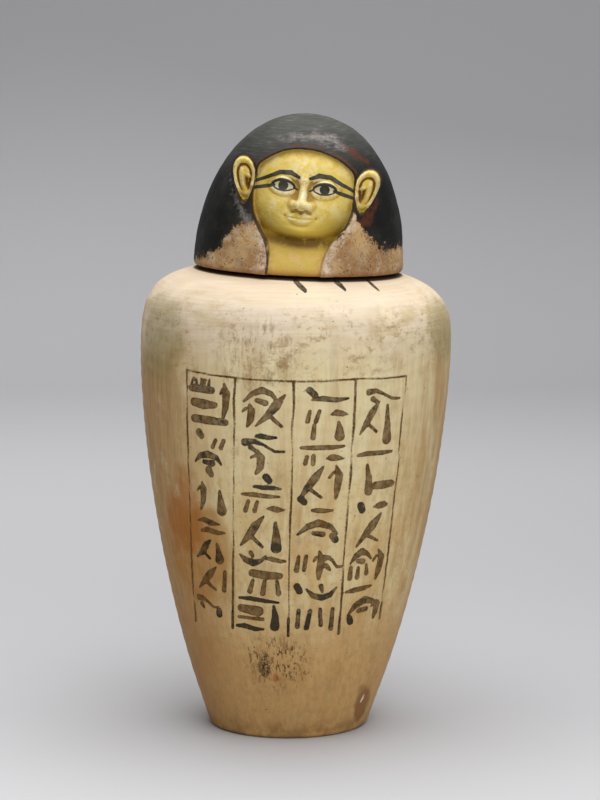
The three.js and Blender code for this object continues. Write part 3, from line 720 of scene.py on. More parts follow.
def brushed(s, z, strokes):
    """How far each place is from the nearest stroke's edge, below 0 inside it, and that stroke's tone."""
    nearest = np.full(len(s), FAR)
    tones = np.zeros(len(s))
    for points, tone in strokes:
        ends = np.array(points)
        low, high = ends[:, :2].min(0) - STROKE_REACH, ends[:, :2].max(0) + STROKE_REACH
        near = np.flatnonzero((s > low[0]) & (s < high[0]) & (z > low[1]) & (z < high[1]))
        if not len(near):
            continue
        best = np.full(len(near), FAR)
        for (s0, z0, w0), (s1, z1, w1) in zip(points[:-1], points[1:]):
            ds, dz = s1 - s0, z1 - z0
            share = np.clip(((s[near] - s0) * ds + (z[near] - z0) * dz) / (ds * ds + dz * dz), 0, 1)
            away = np.hypot(s[near] - s0 - ds * share, z[near] - z0 - dz * share)
            best = np.minimum(best, away - (w0 + (w1 - w0) * share))
        closer = best < nearest[near]
        nearest[near[closer]] = best[closer]
        tones[near[closer]] = tone
    return nearest, tones


def paint_panel(mesh, form):
    """Stores the strokes on the jar's points, as a distance in mm and a tone, and sinks the flake."""
    points = points_of(mesh)
    turn, level = stored(mesh, "turn"), stored(mesh, "level")
    outline = jar_outline(form)
    radius = np.interp(level, outline[:, 1], outline[:, 0])
    outside = np.hypot(points[:, 0] - form.lean * level, points[:, 1]) > radius - 0.5 * form.wall
    places = turn * radius / MM, level / MM
    away, tone = brushed(*places, panel_strokes(np.random.default_rng(form.seed)))
    store(mesh, "ink", np.where(outside, away, FAR))
    store(mesh, "tone", tone)
    store(mesh, "inside", 1.0 - outside)
    # A flake of the wall is gone near the foot at the right
    flake, _ = brushed(*places, [(CHIP, 1)])
    chip = smooth(np.where(outside, flake, FAR), 0.4, -0.6)
    store(mesh, "chip", chip)
    outwards = np.column_stack([np.sin(turn), -np.cos(turn), np.zeros(len(turn))])
    points -= outwards * (CHIP_DEPTH * chip)[:, None]
    mesh.vertices.foreach_set("co", points.ravel())


# The jar's paint

THICK_SLIP = srgb(238, 226, 181)
PALE_SLIP = srgb(238, 224, 184)
THIN_SLIP = srgb(176, 150, 100)
SHADE_NEAR_LID = srgb(206, 184, 156)
LOW_LEFT_SHADE = srgb(158, 106, 46)
GRIME = srgb(150, 108, 54)
LEFT_SIDE_SHADE = srgb(112, 78, 34)
SIDE_DIRT = srgb(192, 170, 116)
BELT_DIRT = srgb(156, 122, 70)
GREEN_DIRT = srgb(150, 138, 88)
DRIBBLE = srgb(138, 102, 56)
LOW_ORANGE = srgb(166, 108, 30)
MOTTLE = srgb(170, 124, 66)
SPECK = srgb(84, 62, 40)
SPLASH = srgb(66, 40, 24)
SPLASH_RUN = srgb(110, 70, 32)
SPLASH_HEART = srgb(40, 26, 24)
SPLASH_RED = srgb(164, 86, 48)
STAIN = srgb(128, 76, 32)
FOOT_DIRT = srgb(126, 82, 42)
FRESH_CHIP = srgb(232, 222, 204)
NICK = srgb(70, 50, 34)
PAINTED_LID_SHADOW = srgb(52, 34, 20)
HOLLOW_CLAY = (srgb(150, 112, 76), srgb(176, 138, 96))
STREAK_DOWN = ((0.42, 0.41, 0.38), (0.58, 0.58, 0.58))
STREAK_AROUND = ((0.40, 0.38, 0.35), (0.60, 0.60, 0.60))

# Spots on the wall: middle and reach in metres, how ragged the edge is and how large its rags are
SPOTS = {
    "green left": ((-0.078, -0.05, 0.243), (0.022, 0.03, 0.028), 0.6, 0.012),
    "green right": ((0.092, -0.03, 0.248), (0.016, 0.03, 0.022), 0.6, 0.012),
    "smear": ((-0.018, -0.09, 0.238), (0.026, 0.03, 0.024), 0.8, 0.012),
    "orange": ((-0.062, -0.06, 0.134), (0.013, 0.03, 0.032), 1.2, 0.02),
    "low orange": ((-0.055, -0.06, 0.116), (0.026, 0.04, 0.032), 1.1, 0.022),
    "splash": ((-0.0085, -0.065, 0.052), (0.023, 0.02, 0.018), 0.8, 0.01),
    "splash run": ((-0.006, -0.065, 0.048), (0.02, 0.02, 0.022), 0.8, 0.01),
    "splash heart": ((-0.0145, -0.064, 0.048), (0.0036, 0.02, 0.009), 1.1, 0.003),
    "splash red": ((-0.0075, -0.064, 0.041), (0.0022, 0.02, 0.0035), 0.9, 0.002),
    "stain": ((0.0448, -0.032, 0.0165), (0.006, 0.012, 0.0165), 0.8, 0.008),
    "nick": ((0.0768, -0.028, 0.1605), (0.0016, 0.02, 0.0026), 0.8, 0.002),
}
LID_MIDDLE = 0.006
LID_SHADOW = 0.0628


class JarSurface(Surface):
    """The jar's surface, with the grains of its slip that several paints share."""

    def __init__(self):
        super().__init__("painted_jar")
        self.x, self.y, self.z = self.parts(self.point)[:3]
        self.broad = self.noise(0.045, 3, 0.55)
        self.cloudy = self.noise(0.014, 5, 0.62, (1, 1, 1.5))
        self.streaks = self.noise(0.0021, 4, 0.6, (1, 1, 20))
        self.rings = self.noise(0.0022, 4, 0.6, (16, 16, 0.5))
        self.grain = self.noise(0.0008, 3, 0.6)
        self.level = self.plus(self.z, (self.math("SUBTRACT", self.broad, 0.5), 0.06))
        self.shoulder = self.step(self.z, 0.225, 0.262)


def slip_over_clay(s, form):
    """Slip that is pale above and thins out down the wall, over tan clay, with painted shade at the sides and
    low on the left.
    """
    s.colour = s.mix(s.step(s.level, 0.02, 0.15), form.foot, form.clay)
    s.coat(s.step(s.level, 0.11, 0.235), form.wash)
    # Painted shade: both sides of the wall are darker tan, and darker still low on the left
    s.coat(s.step(s.x, -0.034, -0.082), form.ochre, 0.7)
    s.coat(s.step(s.x, 0.056, 0.094), form.ochre, 0.68)
    s.coat(s.both(s.step(s.x, -0.02, -0.06), s.step(s.z, 0.13, 0.05)), LOW_LEFT_SHADE, 0.5)
    s.coat(s.step(s.y, 0.0, 0.05), form.ochre, 0.25)
    # Long smears of thicker slip and of dirt run down the wall, and painted shade in streaks darkens the left
    # side
    front = s.both(s.step(s.x, -0.06, -0.02), s.step(s.y, 0.0, -0.04), s.step(s.z, 0.05, 0.1))
    s.coat(s.both(s.patches(0.34, 0.66, 0.011, 4, 0.6, (1, 1, 9)), front), THICK_SLIP, 0.55)
    s.coat(s.patches(0.46, 0.74, 0.009, 4, 0.65, (1, 1, 10)), GRIME, 0.3)
    # Painted shade, broken into streaks, down the left side
    left_shade_streaks = s.patches(0.44, 0.62, 0.004, 3, 0.6, (1, 1, 10))
    s.coat(s.both(s.step(s.x, -0.045, -0.085), left_shade_streaks), LEFT_SIDE_SHADE, 0.32)
    # The shoulder is palest, and below it the slip is thin in places and thick in others
    s.coat(s.step(s.level, 0.222, 0.268), form.slip)
    # Painted shade darkens the shoulder in a band just under the lid
    s.coat(s.step(s.z, 0.264, 0.276), SHADE_NEAR_LID, 0.35)
    s.coat(s.both(s.step(s.cloudy, 0.5, 0.72), s.step(s.z, 0.272, 0.25)), THIN_SLIP, 0.42)
    s.coat(s.both(s.patches(0.52, 0.7, 0.02, 5, 0.6), s.step(s.z, 0.04, 0.12)), PALE_SLIP, 0.3)


def upper_dirt(s):
    """Brown dirt caught on the upper wall, greenish at the two sides."""
    rubbed = s.patches(0.45, 0.66, 0.011, 6, 0.68, (1.7, 1.7, 0.8))
    sides = s.step(s.math("ABSOLUTE", s.math("SUBTRACT", s.x, 0.012)), 0.026, 0.052)
    sides = s.both(sides, s.step(s.z, 0.236, 0.25), s.step(s.z, 0.277, 0.27))
    s.coat(s.both(rubbed, sides), SIDE_DIRT, 0.5)
    fleck = s.patches(0.48, 0.66, 0.0036, 5, 0.72, (1.4, 1.4, 1))
    belt = s.both(s.step(s.z, 0.214, 0.234), s.step(s.z, 0.27, 0.256), s.patches(0.42, 0.58, 0.02, 3, 0.6))
    s.coat(s.both(belt, fleck), BELT_DIRT, 0.6)
    green = s.math("MAXIMUM", s.spot(*SPOTS["green left"]), s.spot(*SPOTS["green right"]))
    s.coat(green, GREEN_DIRT, 0.5)
    dribble = s.patches(0.47, 0.66, 0.0042, 6, 0.72, (1, 1, 2.4))
    s.coat(s.both(s.spot(*SPOTS["smear"]), dribble), DRIBBLE, 0.62)


def brush_marks(s):
    """Streaks that the brush left, down the wall and round the shoulder."""
    down = s.mix(s.step(s.streaks, 0.3, 0.7), *STREAK_DOWN)
    around = s.mix(s.step(s.rings, 0.3, 0.7), *STREAK_AROUND)
    s.colour = s.mix(0.42, s.colour, s.mix(s.shoulder, down, around), "OVERLAY")


def specks_and_splashes(s):
    """Dark specks all over, and the splashes below the panel."""
    s.coat(s.both(s.patches(0.5, 0.64, 0.0034, 5, 0.74), s.step(s.z, 0.21, 0.15)), MOTTLE, 0.26)
    s.coat(s.both(s.patches(0.72, 0.75, 0.0021, 2, 0.5), s.patches(0.4, 0.52, 0.02, 2)), SPECK, 0.7)
    drips = s.patches(0.545, 0.61, 0.0018, 4, 0.7, (1, 1, 4.2))
    s.coat(s.both(s.spot(*SPOTS["splash"]), drips), SPLASH, 0.85)
    s.coat(s.both(s.spot(*SPOTS["splash run"]), s.step(s.streaks, 0.5, 0.62)), SPLASH_RUN, 0.55)
    s.coat(s.both(s.spot(*SPOTS["splash heart"]), s.step(s.grain, 0.35, 0.6)), SPLASH_HEART, 0.9)
    s.coat(s.spot(*SPOTS["splash red"]), SPLASH_RED, 0.6)


def foot_stains(s):
    """The brown stain near the foot with a pale chip in it, dirt along the foot, and a nick at the right."""
    s.coat(s.spot(*SPOTS["stain"]), STAIN, 0.72)
    s.coat(s.both(s.step(s.z, 0.016, 0.002), s.patches(0.4, 0.6, 0.012, 4, 0.6)), FOOT_DIRT, 0.5)
    s.coat(s.step(s.attribute("chip"), 0.45, 0.6), FRESH_CHIP, 0.95)
    s.coat(s.spot(*SPOTS["nick"]), NICK, 0.8)


def painted_strokes(s, form):
    """Brown paint inside ragged edges, black where it is thick, and thin where the brush ran dry."""
    ink = s.attribute("ink")
    within = s.step(s.plus(ink, (s.swing(0.0012, 3), 0.8)), 0.3, -0.3)
    full = s.step(s.plus(s.attribute("tone"), (s.swing(0.005, 3), 1.5)), 0.5, 0.82)
    streaked, dry = s.step(s.streaks, 0.2, 0.62), s.patches(0.36, 0.62, 0.0035, 4, 0.7)
    rim = s.step(s.math("ABSOLUTE", s.math("ADD", ink, 0.25)), 0.45, 0.0)
    thin = s.plus(0.6, (streaked, 0.16), (dry, 0.2), (rim, 0.16))
    cover = s.both(within, s.math("MAXIMUM", thin, s.math("MULTIPLY", full, 0.93)))
    s.coat(cover, s.mix(full, form.ink, form.ink_dark))


def under_lid_and_hollow(s):
    """Painted shadow on the shoulder under the lid, and bare clay in the unseen hollow."""
    # Painted shadow of the lid: dark brown in a ring just inside its rim
    from_lid = s.vector("LENGTH", s.join(s.math("SUBTRACT", s.x, LID_MIDDLE), s.y, 0.0))
    covered = s.step(s.math("SUBTRACT", from_lid, LID_SHADOW), 0.0015, -0.0005)
    s.coat(s.both(covered, s.step(s.z, 0.26, 0.27)), PAINTED_LID_SHADOW, 0.92)
    s.coat(s.step(s.attribute("inside"), 0.4, 0.6), s.mix(s.broad, *HOLLOW_CLAY))


def jar_material(form):
    """Cream slip over tan clay, brushed, worn and stained, with the strokes painted on it."""
    s = JarSurface()
    slip_over_clay(s, form)
    upper_dirt(s)
    s.coat(s.spot(*SPOTS["low orange"]), LOW_ORANGE, 0.6)
    s.coat(s.spot(*SPOTS["orange"]), form.rust, 0.62)
    brush_marks(s)
    specks_and_splashes(s)
    foot_stains(s)
    painted_strokes(s, form)
    under_lid_and_hollow(s)
    brushed_height = s.mix(s.shoulder, s.streaks, s.rings)
    height = s.plus(0.0, (s.grain, 0.35), (brushed_height, 0.5))
    return s.finish(s.plus(0.44, (s.cloudy, 0.2)), 0.14, height, 0.00022)


# The head, in mm. The face's levels are up from its chin, and EAR_SIZE is a share.

HEAD_UNITS = 51.0
THIRD = 17.0
HALF_WIDTH = 30.0
EYE_MIDDLE = 2 * HALF_WIDTH / 5 + 0.3
EYE_HALF_WIDTH = 6.9
BROW_LEVEL = 2.02 * THIRD
EYE_LEVEL = 1.7 * THIRD
NOSE_LEVEL = THIRD
MOUTH_LEVEL = 0.66 * THIRD
CHIN_HEIGHT = 22.0
NECK_RECESS = 14.5
NECK_WALL = 6.5
EAR_LEVEL = 30.0
EAR_SIZE = 26.0 / 28.4
WIG_THICKNESS = 2.8
FLANGE_CLEARANCE = 1.6
FLANGE_THICKNESS = 8.0
FLANGE_DEPTH = 12.0
LID_WALL = 13.0
SEAT_GAP = 0.3
# Size, seed and height of the hand-made lumps
LUMPS = ((34.0, 5, 0.35), (9.0, 8, 0.08))
# Middle and reach, across and up, of the pale middle of the face and of the shade under the chin
FACE_MIDDLE = (0, 26, 13, 26)
UNDER_CHIN = (0, -2.6, 24, 4.2)


def dome_fullness(turn):
    front = np.maximum(0, np.cos(turn))
    back = np.maximum(0, -np.cos(turn))
    return 2.08 + 0.5 * front**2 + 0.25 * back**2


def dome_points(form, turn, climb):
    """The wig without its opening, in mm. Turn 0 is the front, climb 0 the rim."""
    power = dome_fullness(turn)
    across, up = np.cos(climb), np.sin(climb)
    reach = (across**power + up**power) ** (-1 / power)
    height = form.height / MM * up * reach
    radius = form.radius / MM * across * reach - 1.2 * bell(height, -1.5, 2.2)
    return np.column_stack([radius * np.sin(turn) + form.lean * height, -radius * np.cos(turn), height])


def face_place(form, points):
    """Face places (u across, v up from the chin) of points of the lid, in mm."""
    tilt = form.tilt
    dx = points[:, 0] - form.face_shift / MM
    dz = points[:, 2] - CHIN_HEIGHT - HEAD_UNITS / 2
    across = dx * math.cos(tilt) - dz * math.sin(tilt)
    return across, dx * math.sin(tilt) + dz * math.cos(tilt) + HEAD_UNITS / 2


def face_outline(v):
    top = 1 - 0.1 * np.clip((v - 28) / 23, 0, 2) ** 2
    low = np.sqrt(np.clip(1 - (np.clip(28 - v, 0, 40) / 31.5) ** 2.3, 1e-3, 1))
    return HALF_WIDTH * np.where(v > 28, top, low)


# Depths of the plain face down its middle and its edge, and the nose's height and half width, at heights
MASK_MIDDLE = (
    (-6, 44.1), (0, 51.1), (5, 52.6), (11, 52.1), (17, 51.4),
    (27, 50.9), (34, 51.7), (42, 49.9), (52, 44.1), (60, 38.1),
)
MASK_EDGE = ((-6, 42.1), (6, 44.1), (17, 43.7), (28, 42.7), (38, 41.1), (52, 34.1), (60, 29.1))
NOSE_RIDGE = (
    (NOSE_LEVEL - 2.8, 0), (NOSE_LEVEL - 1, 3.2), (NOSE_LEVEL + 0.8, 6.3), (NOSE_LEVEL + 3, 7.4),
    (NOSE_LEVEL + 6, 6.6), (NOSE_LEVEL + 10, 4.7), (BROW_LEVEL - 2.5, 2.5), (BROW_LEVEL + 3, 0.6),
    (BROW_LEVEL + 10, 0),
)
NOSE_WIDTH = (
    (NOSE_LEVEL - 2, 4.0), (NOSE_LEVEL + 2, 3.7), (NOSE_LEVEL + 6, 2.9),
    (NOSE_LEVEL + 12, 2.5), (BROW_LEVEL + 3, 4.2),
)


def mask_depth(u, v):
    """The plain front of the face, as how far it lies in front of the lid's axis."""
    middle = track(v, MASK_MIDDLE)
    return middle - (middle - track(v, MASK_EDGE)) * np.minimum((np.abs(u) / face_outline(v)) ** 2.4, 6)


def nose_relief(a, v):
    wing = 2.9 * np.exp(-(np.hypot((a - 4.5) / 2.7, (v - NOSE_LEVEL - 2) / 2.8) ** 2.6))
    nostril = 1.1 * dab(a, v, 2.9, NOSE_LEVEL - 0.7, 1.5, 0.9)
    return track(v, NOSE_RIDGE) * np.exp(-((a / track(v, NOSE_WIDTH)) ** 2.4)) + wing - nostril


def brow_relief(a, v):
    line = BROW_LEVEL + 0.8 - 0.02 * (a - 11) ** 2
    ridge = bell(v, line, 2.3) * smooth(a, 3, 7) * (1 - smooth(a, 19, 25))
    socket = 2.8 * dab(a, v, EYE_MIDDLE, EYE_LEVEL + 0.6, 8.2, 5.2)
    return ridge - socket - 1.6 * dab(a, v, 6, EYE_LEVEL + 1.5, 3.2, 4.5)


def eye_place(a, v):
    """Places in the eye: across from its middle in half widths, and up from its slanted line in mm."""
    return (a - EYE_MIDDLE) / EYE_HALF_WIDTH, v - EYE_LEVEL - 0.05 * (a - EYE_MIDDLE)


def eye_inside(a, v):
    """Distance inside the almond between the lids, below 0 outside it."""
    across, level = eye_place(a, v)
    upper = 3 * np.clip(1 - np.abs(across) ** 2.2, 0, 1) ** 0.85
    lower = 2.3 * np.clip(1 - across**2, 0, 1) ** 0.9
    return np.minimum(upper - level, level + lower)


def eye_relief(a, v):
    inside = eye_inside(a, v)
    across, level = eye_place(a, v)
    across = np.abs(across)
    ball = 2.6 * np.clip(1 - ((a - EYE_MIDDLE) / 9.6) ** 2 - ((level - 0.4) / 6.4) ** 2, 0, 1) ** 0.8
    ends = 1 - smooth(across, 0.86, 1.12)
    above = smooth(level, -0.6, 0.6)
    lid = (0.2 + 0.18 * above) * bell(inside, -0.9, 0.8) * ends
    crease = 0.75 * above * bell(inside, -2.9, 0.75) * (1 - smooth(across, 0.8, 1.25))
    return ball + lid - crease - 0.5 * smooth(inside, -0.25, 0.25) * ends


def mouth_relief(u, v):
    a = np.abs(u)
    half = 9.0
    line = MOUTH_LEVEL + 0.004 * a * a - 0.1
    taper = np.clip(1 - (a / half) ** 2, 0, 1)
    bow = 0.55 * bell(a, 2.2, 1.8) - 0.25 * bell(u, 0, 1)
    upper_height = np.maximum(3 * taper**0.8 + bow * taper, 0.05)
    lower_height = np.maximum(3.5 * np.clip(1 - (a / (half - 0.6)) ** 2.2, 0, 1) ** 0.8, 0.05)
    above, below = (v - line) / upper_height, (line - v) / lower_height
    upper = 1.45 * (1 - smooth(above, 0.5, 1.2)) + 0.35 * bell(above, 0.9, 0.2)
    lower = 1.4 * (1 - smooth(below, 0.4, 1.3))
    parting = np.exp(-((np.abs(v - line) / 0.62) ** 1.6)) * (1 - smooth(a, half - 2, half + 0.8))
    corners = 0.55 * dab(a, v, half + 0.6, MOUTH_LEVEL + 0.9, 1.7, 1.7)
    groove = 0.5 * dab(u, v, 0, NOSE_LEVEL - 2.6, 1.2, 2.2)
    swell = 2.3 * dab(u, v, 0, MOUTH_LEVEL + 0.5, 11, 7.5)
    return swell + taper**0.6 * np.where(v >= line, upper, lower) - parting - corners - groove


def face_depth(u, v):
    a = np.abs(u)
    cheek = 1.5 * dab(a, v, 16, 17.5, 8.5, 8)
    chin = 3.5 * dab(u, v, 0, 4.2, 7.5, 5) - dab(u, v, 0, MOUTH_LEVEL - 4.6, 6.5, 1.8)
    features = (brow_relief(a, v), nose_relief(a, v), mouth_relief(u, v), eye_relief(a, v))
    return sum(features, mask_depth(u, v) + cheek + chin)


# How far the neck is sunk at shares of the chin's height, and the half width of the opening at heights in mm
NECK_SINK = ((-0.1, 0.04), (0, 0.04), (0.27, 0.2), (0.55, 0.55), (0.82, 0.9), (1, 1), (1.8, 1.07))
OPENING_WIDTHS = (
    (-3, 15.5), (0, 15.5), (10, 16), (18, 18.6), (26, 23.8), (34, 28), (42, 29.6), (52, 29.8), (60, 28.6),
)


def neck_depth(u, height, dome):
    share = track(height / CHIN_HEIGHT, NECK_SINK)
    return dome - NECK_RECESS * share - 2.5 * smooth(height, 8, 20) * (u / 17) ** 2


def opening_inside(u, v):
    """Distance inside the edge of the wig's opening round the face and neck."""
    a = np.abs(u)
    half = track(v + CHIN_HEIGHT, OPENING_WIDTHS)
    fringe = (HEAD_UNITS + 0.6 - 13.5 * (a / HALF_WIDTH) ** 2.3 - v) * 0.9
    return -smooth_max(a - half, -fringe, 2.5)


def ear_place(u, v):
    up = v - EAR_LEVEL
    return (np.abs(u) - HALF_WIDTH - 6.2 - 0.12 * up) / EAR_SIZE, up / EAR_SIZE


def ear_inside(u, v):
    across, up = ear_place(u, v)
    half = track(up, ((-15, 4.2), (-10, 4.8), (-4, 6.2), (4, 7.9), (9, 8.3), (15, 7.6)))
    return (1 - (np.abs(across / half) ** 2.2 + np.abs(up / 14.2) ** 2.4) ** (1 / 2.3)) * 7


def ear_depth(u, v):
    across, up = ear_place(u, v)
    inside = ear_inside(u, v)
    plane = 43.3 - 0.4 * (across + 6.2) - 0.01 * (up + 1) ** 2
    behind = smooth(across + 0.35 * (up + 6), -6.5, -2)
    rim = 1.3 * np.exp(-(np.abs((inside - 1.05) / 1.15) ** 2.6)) * behind * smooth(up, -12, -7)
    groove = 0.9 * bell(inside, 2.7, 0.75) * behind * smooth(up, -7, 0)
    fold = 0.8 * bell(across, 1.2 + 0.12 * up, 1.5) * smooth(up, -8, -4) * (1 - smooth(up, 6, 9))
    bowl = 2.2 * np.exp(-(np.abs((across + 2.1) / 2.5) ** 2.4) - np.abs((up + 2.6) / 4) ** 2.4)
    bridge = bell(across, -3, 2.6) * bell(up, 3 + 0.3 * across, 1.3)
    flap = 1.7 * dab(across, up, -5, -3.6, 1.6, 2.4)
    lobe = 0.9 * dab(across, up, -1.6, -10.4, 3.2, 2.8)
    return plane + rim - groove + fold - bowl + bridge + flap + lobe


def carve(form, points):
    """Moves the front of the dome to the carved head, and returns what the paint needs to know."""
    front = points[:, 1] < -0.05 * form.radius / MM
    u, v = face_place(form, points)
    dome = -points[:, 1]
    neck = neck_depth(u, points[:, 2], dome)
    skin = smooth_max(face_depth(u, v), neck, 2.5)
    inside = opening_inside(u, v)
    outside = np.maximum(0, -inside)
    mask = smooth_max(mask_depth(u, v), neck, 2.5)
    band = np.minimum(mask + WIG_THICKNESS - 0.03 * outside**2, dome + 6)
    near = (1 - smooth(outside, 6, 16)) * (1 - smooth(np.abs(u), 30, 38))
    wig = dome + (smooth_max(dome, band, 3) - dome) * near
    edge = form.edge / MM
    share = smooth(inside, -edge, edge)
    depth = wig + (np.minimum(skin, wig + 8) - wig) * share
    ear = ear_inside(u, v)
    depth = depth + (ear_depth(u, v) - depth) * smooth(ear, -0.7 * edge, 0.7 * edge)
    points[:, 1] = np.where(front, -depth, points[:, 1])
    sunk = np.where(ear > 0, hollowness(ear_depth, u, v, 1.3), hollowness(face_depth, u, v, 2.2))
    return {
        "u": u,
        "v": v,
        "skin": np.where(front, inside, -FAR),
        "ear": np.where(front, ear, -FAR),
        "sunk": sunk * np.where(ear > 0, 1.0, smooth(v, -2, 4)),
    }


def hollowness(depth, u, v, reach):
    """How far a carved place lies behind its neighbours, in mm."""
    around = depth(u + reach, v) + depth(u - reach, v) + depth(u, v + reach) + depth(u, v - reach)
    return around / 4 - depth(u, v)


def hollow_radius(form, jar, height):
    inner = jar.mouth_radius / MM - FLANGE_CLEARANCE - FLANGE_THICKNESS
    top = form.height / MM - LID_WALL
    widest = form.radius / MM - NECK_RECESS - NECK_WALL
    domed = widest * np.clip(1 - (np.maximum(height, 0) / top) ** 3.2, 0, 1) ** (1 / 3.2)
    return inner + (domed - inner) * smooth(height, 3, 18)


def lid_section_below(form, jar):
    """Under the rim, round the flange and up the hollow, as (radius, height) in mm."""
    outer = jar.mouth_radius / MM - FLANGE_CLEARANCE
    inner = outer - FLANGE_THICKNESS
    rim = form.radius / MM
    foot = -FLANGE_DEPTH
    ring = [(rim - 3, 0), (outer + 2, 0), (outer, -0.6), (outer - 0.3, foot + 1.5), (outer - 1.6, foot)]
    ring += [(inner + 1, foot), (inner, foot + 1)]
    top = form.height / MM - LID_WALL
    heights = top * np.sin(np.linspace(0, math.pi / 2, 13))[:-1]
    return ring + [(float(hollow_radius(form, jar, height)), float(height)) for height in heights[1:]]


def ring_faces(rows, columns):
    """Faces over rows of points round the lid, and fans to the crown and the hollow's top, the last two."""
    j, i = np.meshgrid(np.arange(rows - 1), np.arange(columns), indexing="ij")
    here, right = j * columns + i, j * columns + (i + 1) % columns
    quads = np.stack([here, here + columns, right + columns, right], -1).reshape(-1, 4)
    side = np.arange(columns)
    after = (side + 1) % columns
    last = (rows - 1) * columns
    crown, hollow_top = rows * columns, rows * columns + 1
    crown_fan = np.stack([np.full(columns, crown), side, after], -1)
    hollow_fan = np.stack([np.full(columns, hollow_top), last + after, last + side], -1)
    return quads.tolist() + crown_fan.tolist() + hollow_fan.tolist()


def closer_in_front(turn):
    return 1 + 5.5 * np.exp(-((turn / 0.72) ** 4))


def closer_on_face(climb):
    return 1 + 1.6 * np.exp(-(((climb - 0.52) / 0.45) ** 4))


def lid_mesh(form, jar):
    """The head's mesh in the frame, with what its paint reads stored on its points."""
    turns = spread(form.columns + 1, -math.pi, math.pi, closer_in_front)[:-1]
    climbs = spread(form.rows + 1, math.pi / 2, 0, closer_on_face)[1:]
    outside = dome_points(form, np.tile(turns, len(climbs)), np.repeat(climbs, len(turns)))
    facts = carve(form, outside)
    circle = np.column_stack([np.sin(turns), -np.cos(turns)])
    below = lid_section_below(form, jar)
    rings = [np.column_stack([radius * circle, np.full(len(turns), height)]) for radius, height in below]
    crown = form.height / MM
    points = np.vstack([outside, *rings, [0, 0, crown], [0, 0, crown - LID_WALL]])
    lumps = np.zeros(len(points))
    lumps[: len(outside)] = sum(uneven(outside, size, seed) * height for size, seed, height in LUMPS)
    away = points / np.maximum(np.linalg.norm(points, axis=1), 1e-6)[:, None]
    points += away * (lumps * smooth(points[:, 2], 0, 8))[:, None]
    mesh = bpy.data.meshes.new("painted_lid")
    mesh.from_pydata(to_frame(form, jar, points), [], ring_faces(len(climbs) + len(rings), len(turns)))
    mesh.shade_smooth()
    store_paint(mesh, facts, points, len(outside))
    return mesh


# What these hold on the underside and in the hollow. What isn't named here is FAR there.
UNPAINTED = {"skin": -FAR, "ear": -FAR, "sunk": 0.0, "middle": 0.0, "chin": 0.0}


def store_paint(mesh, facts, points, outside):
    """Stores what the lid's paint reads, where the first points, as many as outside, are its outer side."""
    u, v = facts["u"], facts["v"]
    values = {name: facts[name] for name in ("skin", "ear", "sunk")}
    values["middle"] = dab(u, v, *FACE_MIDDLE)
    values["chin"] = dab(u, v, *UNDER_CHIN)
    values.update(face_paint(u, v, facts["skin"], facts["ear"]))
    rest = len(points) - outside
    for name, painted in values.items():
        store(mesh, name, np.concatenate([painted, np.full(rest, UNPAINTED.get(name, FAR))]))
    # The crown's one point comes last but one, and is painted
    within = np.arange(len(points)) >= outside
    within[-2] = False
    for name, painted in wear(points, within).items():
        store(mesh, name, painted)


def to_frame(form, jar, points):
    """Sets the lid's points, in mm, on the mouth of the jar, in metres."""
    turned = Euler((0, jar.mouth_tilt, 0)).to_matrix() @ Euler((0, 0, -form.turn)).to_matrix()
    drop = math.tan(jar.mouth_tilt) * form.shift
    seat = Vector((jar.lean * jar.height + form.shift, 0, jar.height + SEAT_GAP * MM - drop))
    return points * MM @ np.array(turned).T + np.array(seat)


# The worn places of the wig, with a painted highlight along the fringe, as (x, z, half width) in the lid's
# own mm, seen from the front
WORN_FRINGE = ((-17, 77, 0.6), (-3, 80, 2.2), (10, 81, 4.2), (19, 79.5, 4.6), (27, 74.4, 2.4))
WORN_EDGE = ((-41, 58, 0.8), (-39, 50, 2), (-36, 42, 3), (-29, 33, 3.6), (-24, 26, 4))
WORN_LOBE = ((31, 40, 2), (37, 41, 2.5), (43, 46, 1))
RUSTY_TEMPLE = ((28, 75, 0.6), (33, 72, 2.2), (39.5, 67, 1.4), (43, 60, 0.4))
RUSTY_EAR = ((47, 48, 0.8), (46, 40, 2.6), (42, 33, 2.8), (37, 28, 2.4))
# How high the bare clay reaches, in mm, at each bearing in degrees from the front
BARE_HEIGHTS = (
    (-180, 2.5), (-100, 2.5), (-63, 5.2), (-51, 9.3), (-44, 14.5), (-40, 19), (-36, 24), (-32, 28), (-24, 30),
    (28, 42), (34, 38), (39, 30), (43, 24), (50, 20.5), (53, 16), (75, 16), (110, 12), (150, 5), (180, 2.5),
)
# How far below that edge the underside and the hollow count as
ALL_BARE = 40.0


def wear(points, within):
    """What the wig's paint reads: its height, how far below the bare clay's edge, and the worn places, partly
    painted highlight.
    """
    x, y, z = points.T
    worn, _ = brushed(x, z, [(line, 1) for line in (WORN_FRINGE, WORN_EDGE, WORN_LOBE)])
    rusty, _ = brushed(x, z, [(line, 1) for line in (RUSTY_TEMPLE, RUSTY_EAR)])
    behind = y > -5
    below_edge = track(np.degrees(np.arctan2(x, -y)), BARE_HEIGHTS) - z
    return {
        "lid_z": z,
        "bare": np.where(within, ALL_BARE, below_edge),
        "worn": np.where(behind, FAR, worn),
        "rusty": np.where(behind, FAR, rusty),
    }


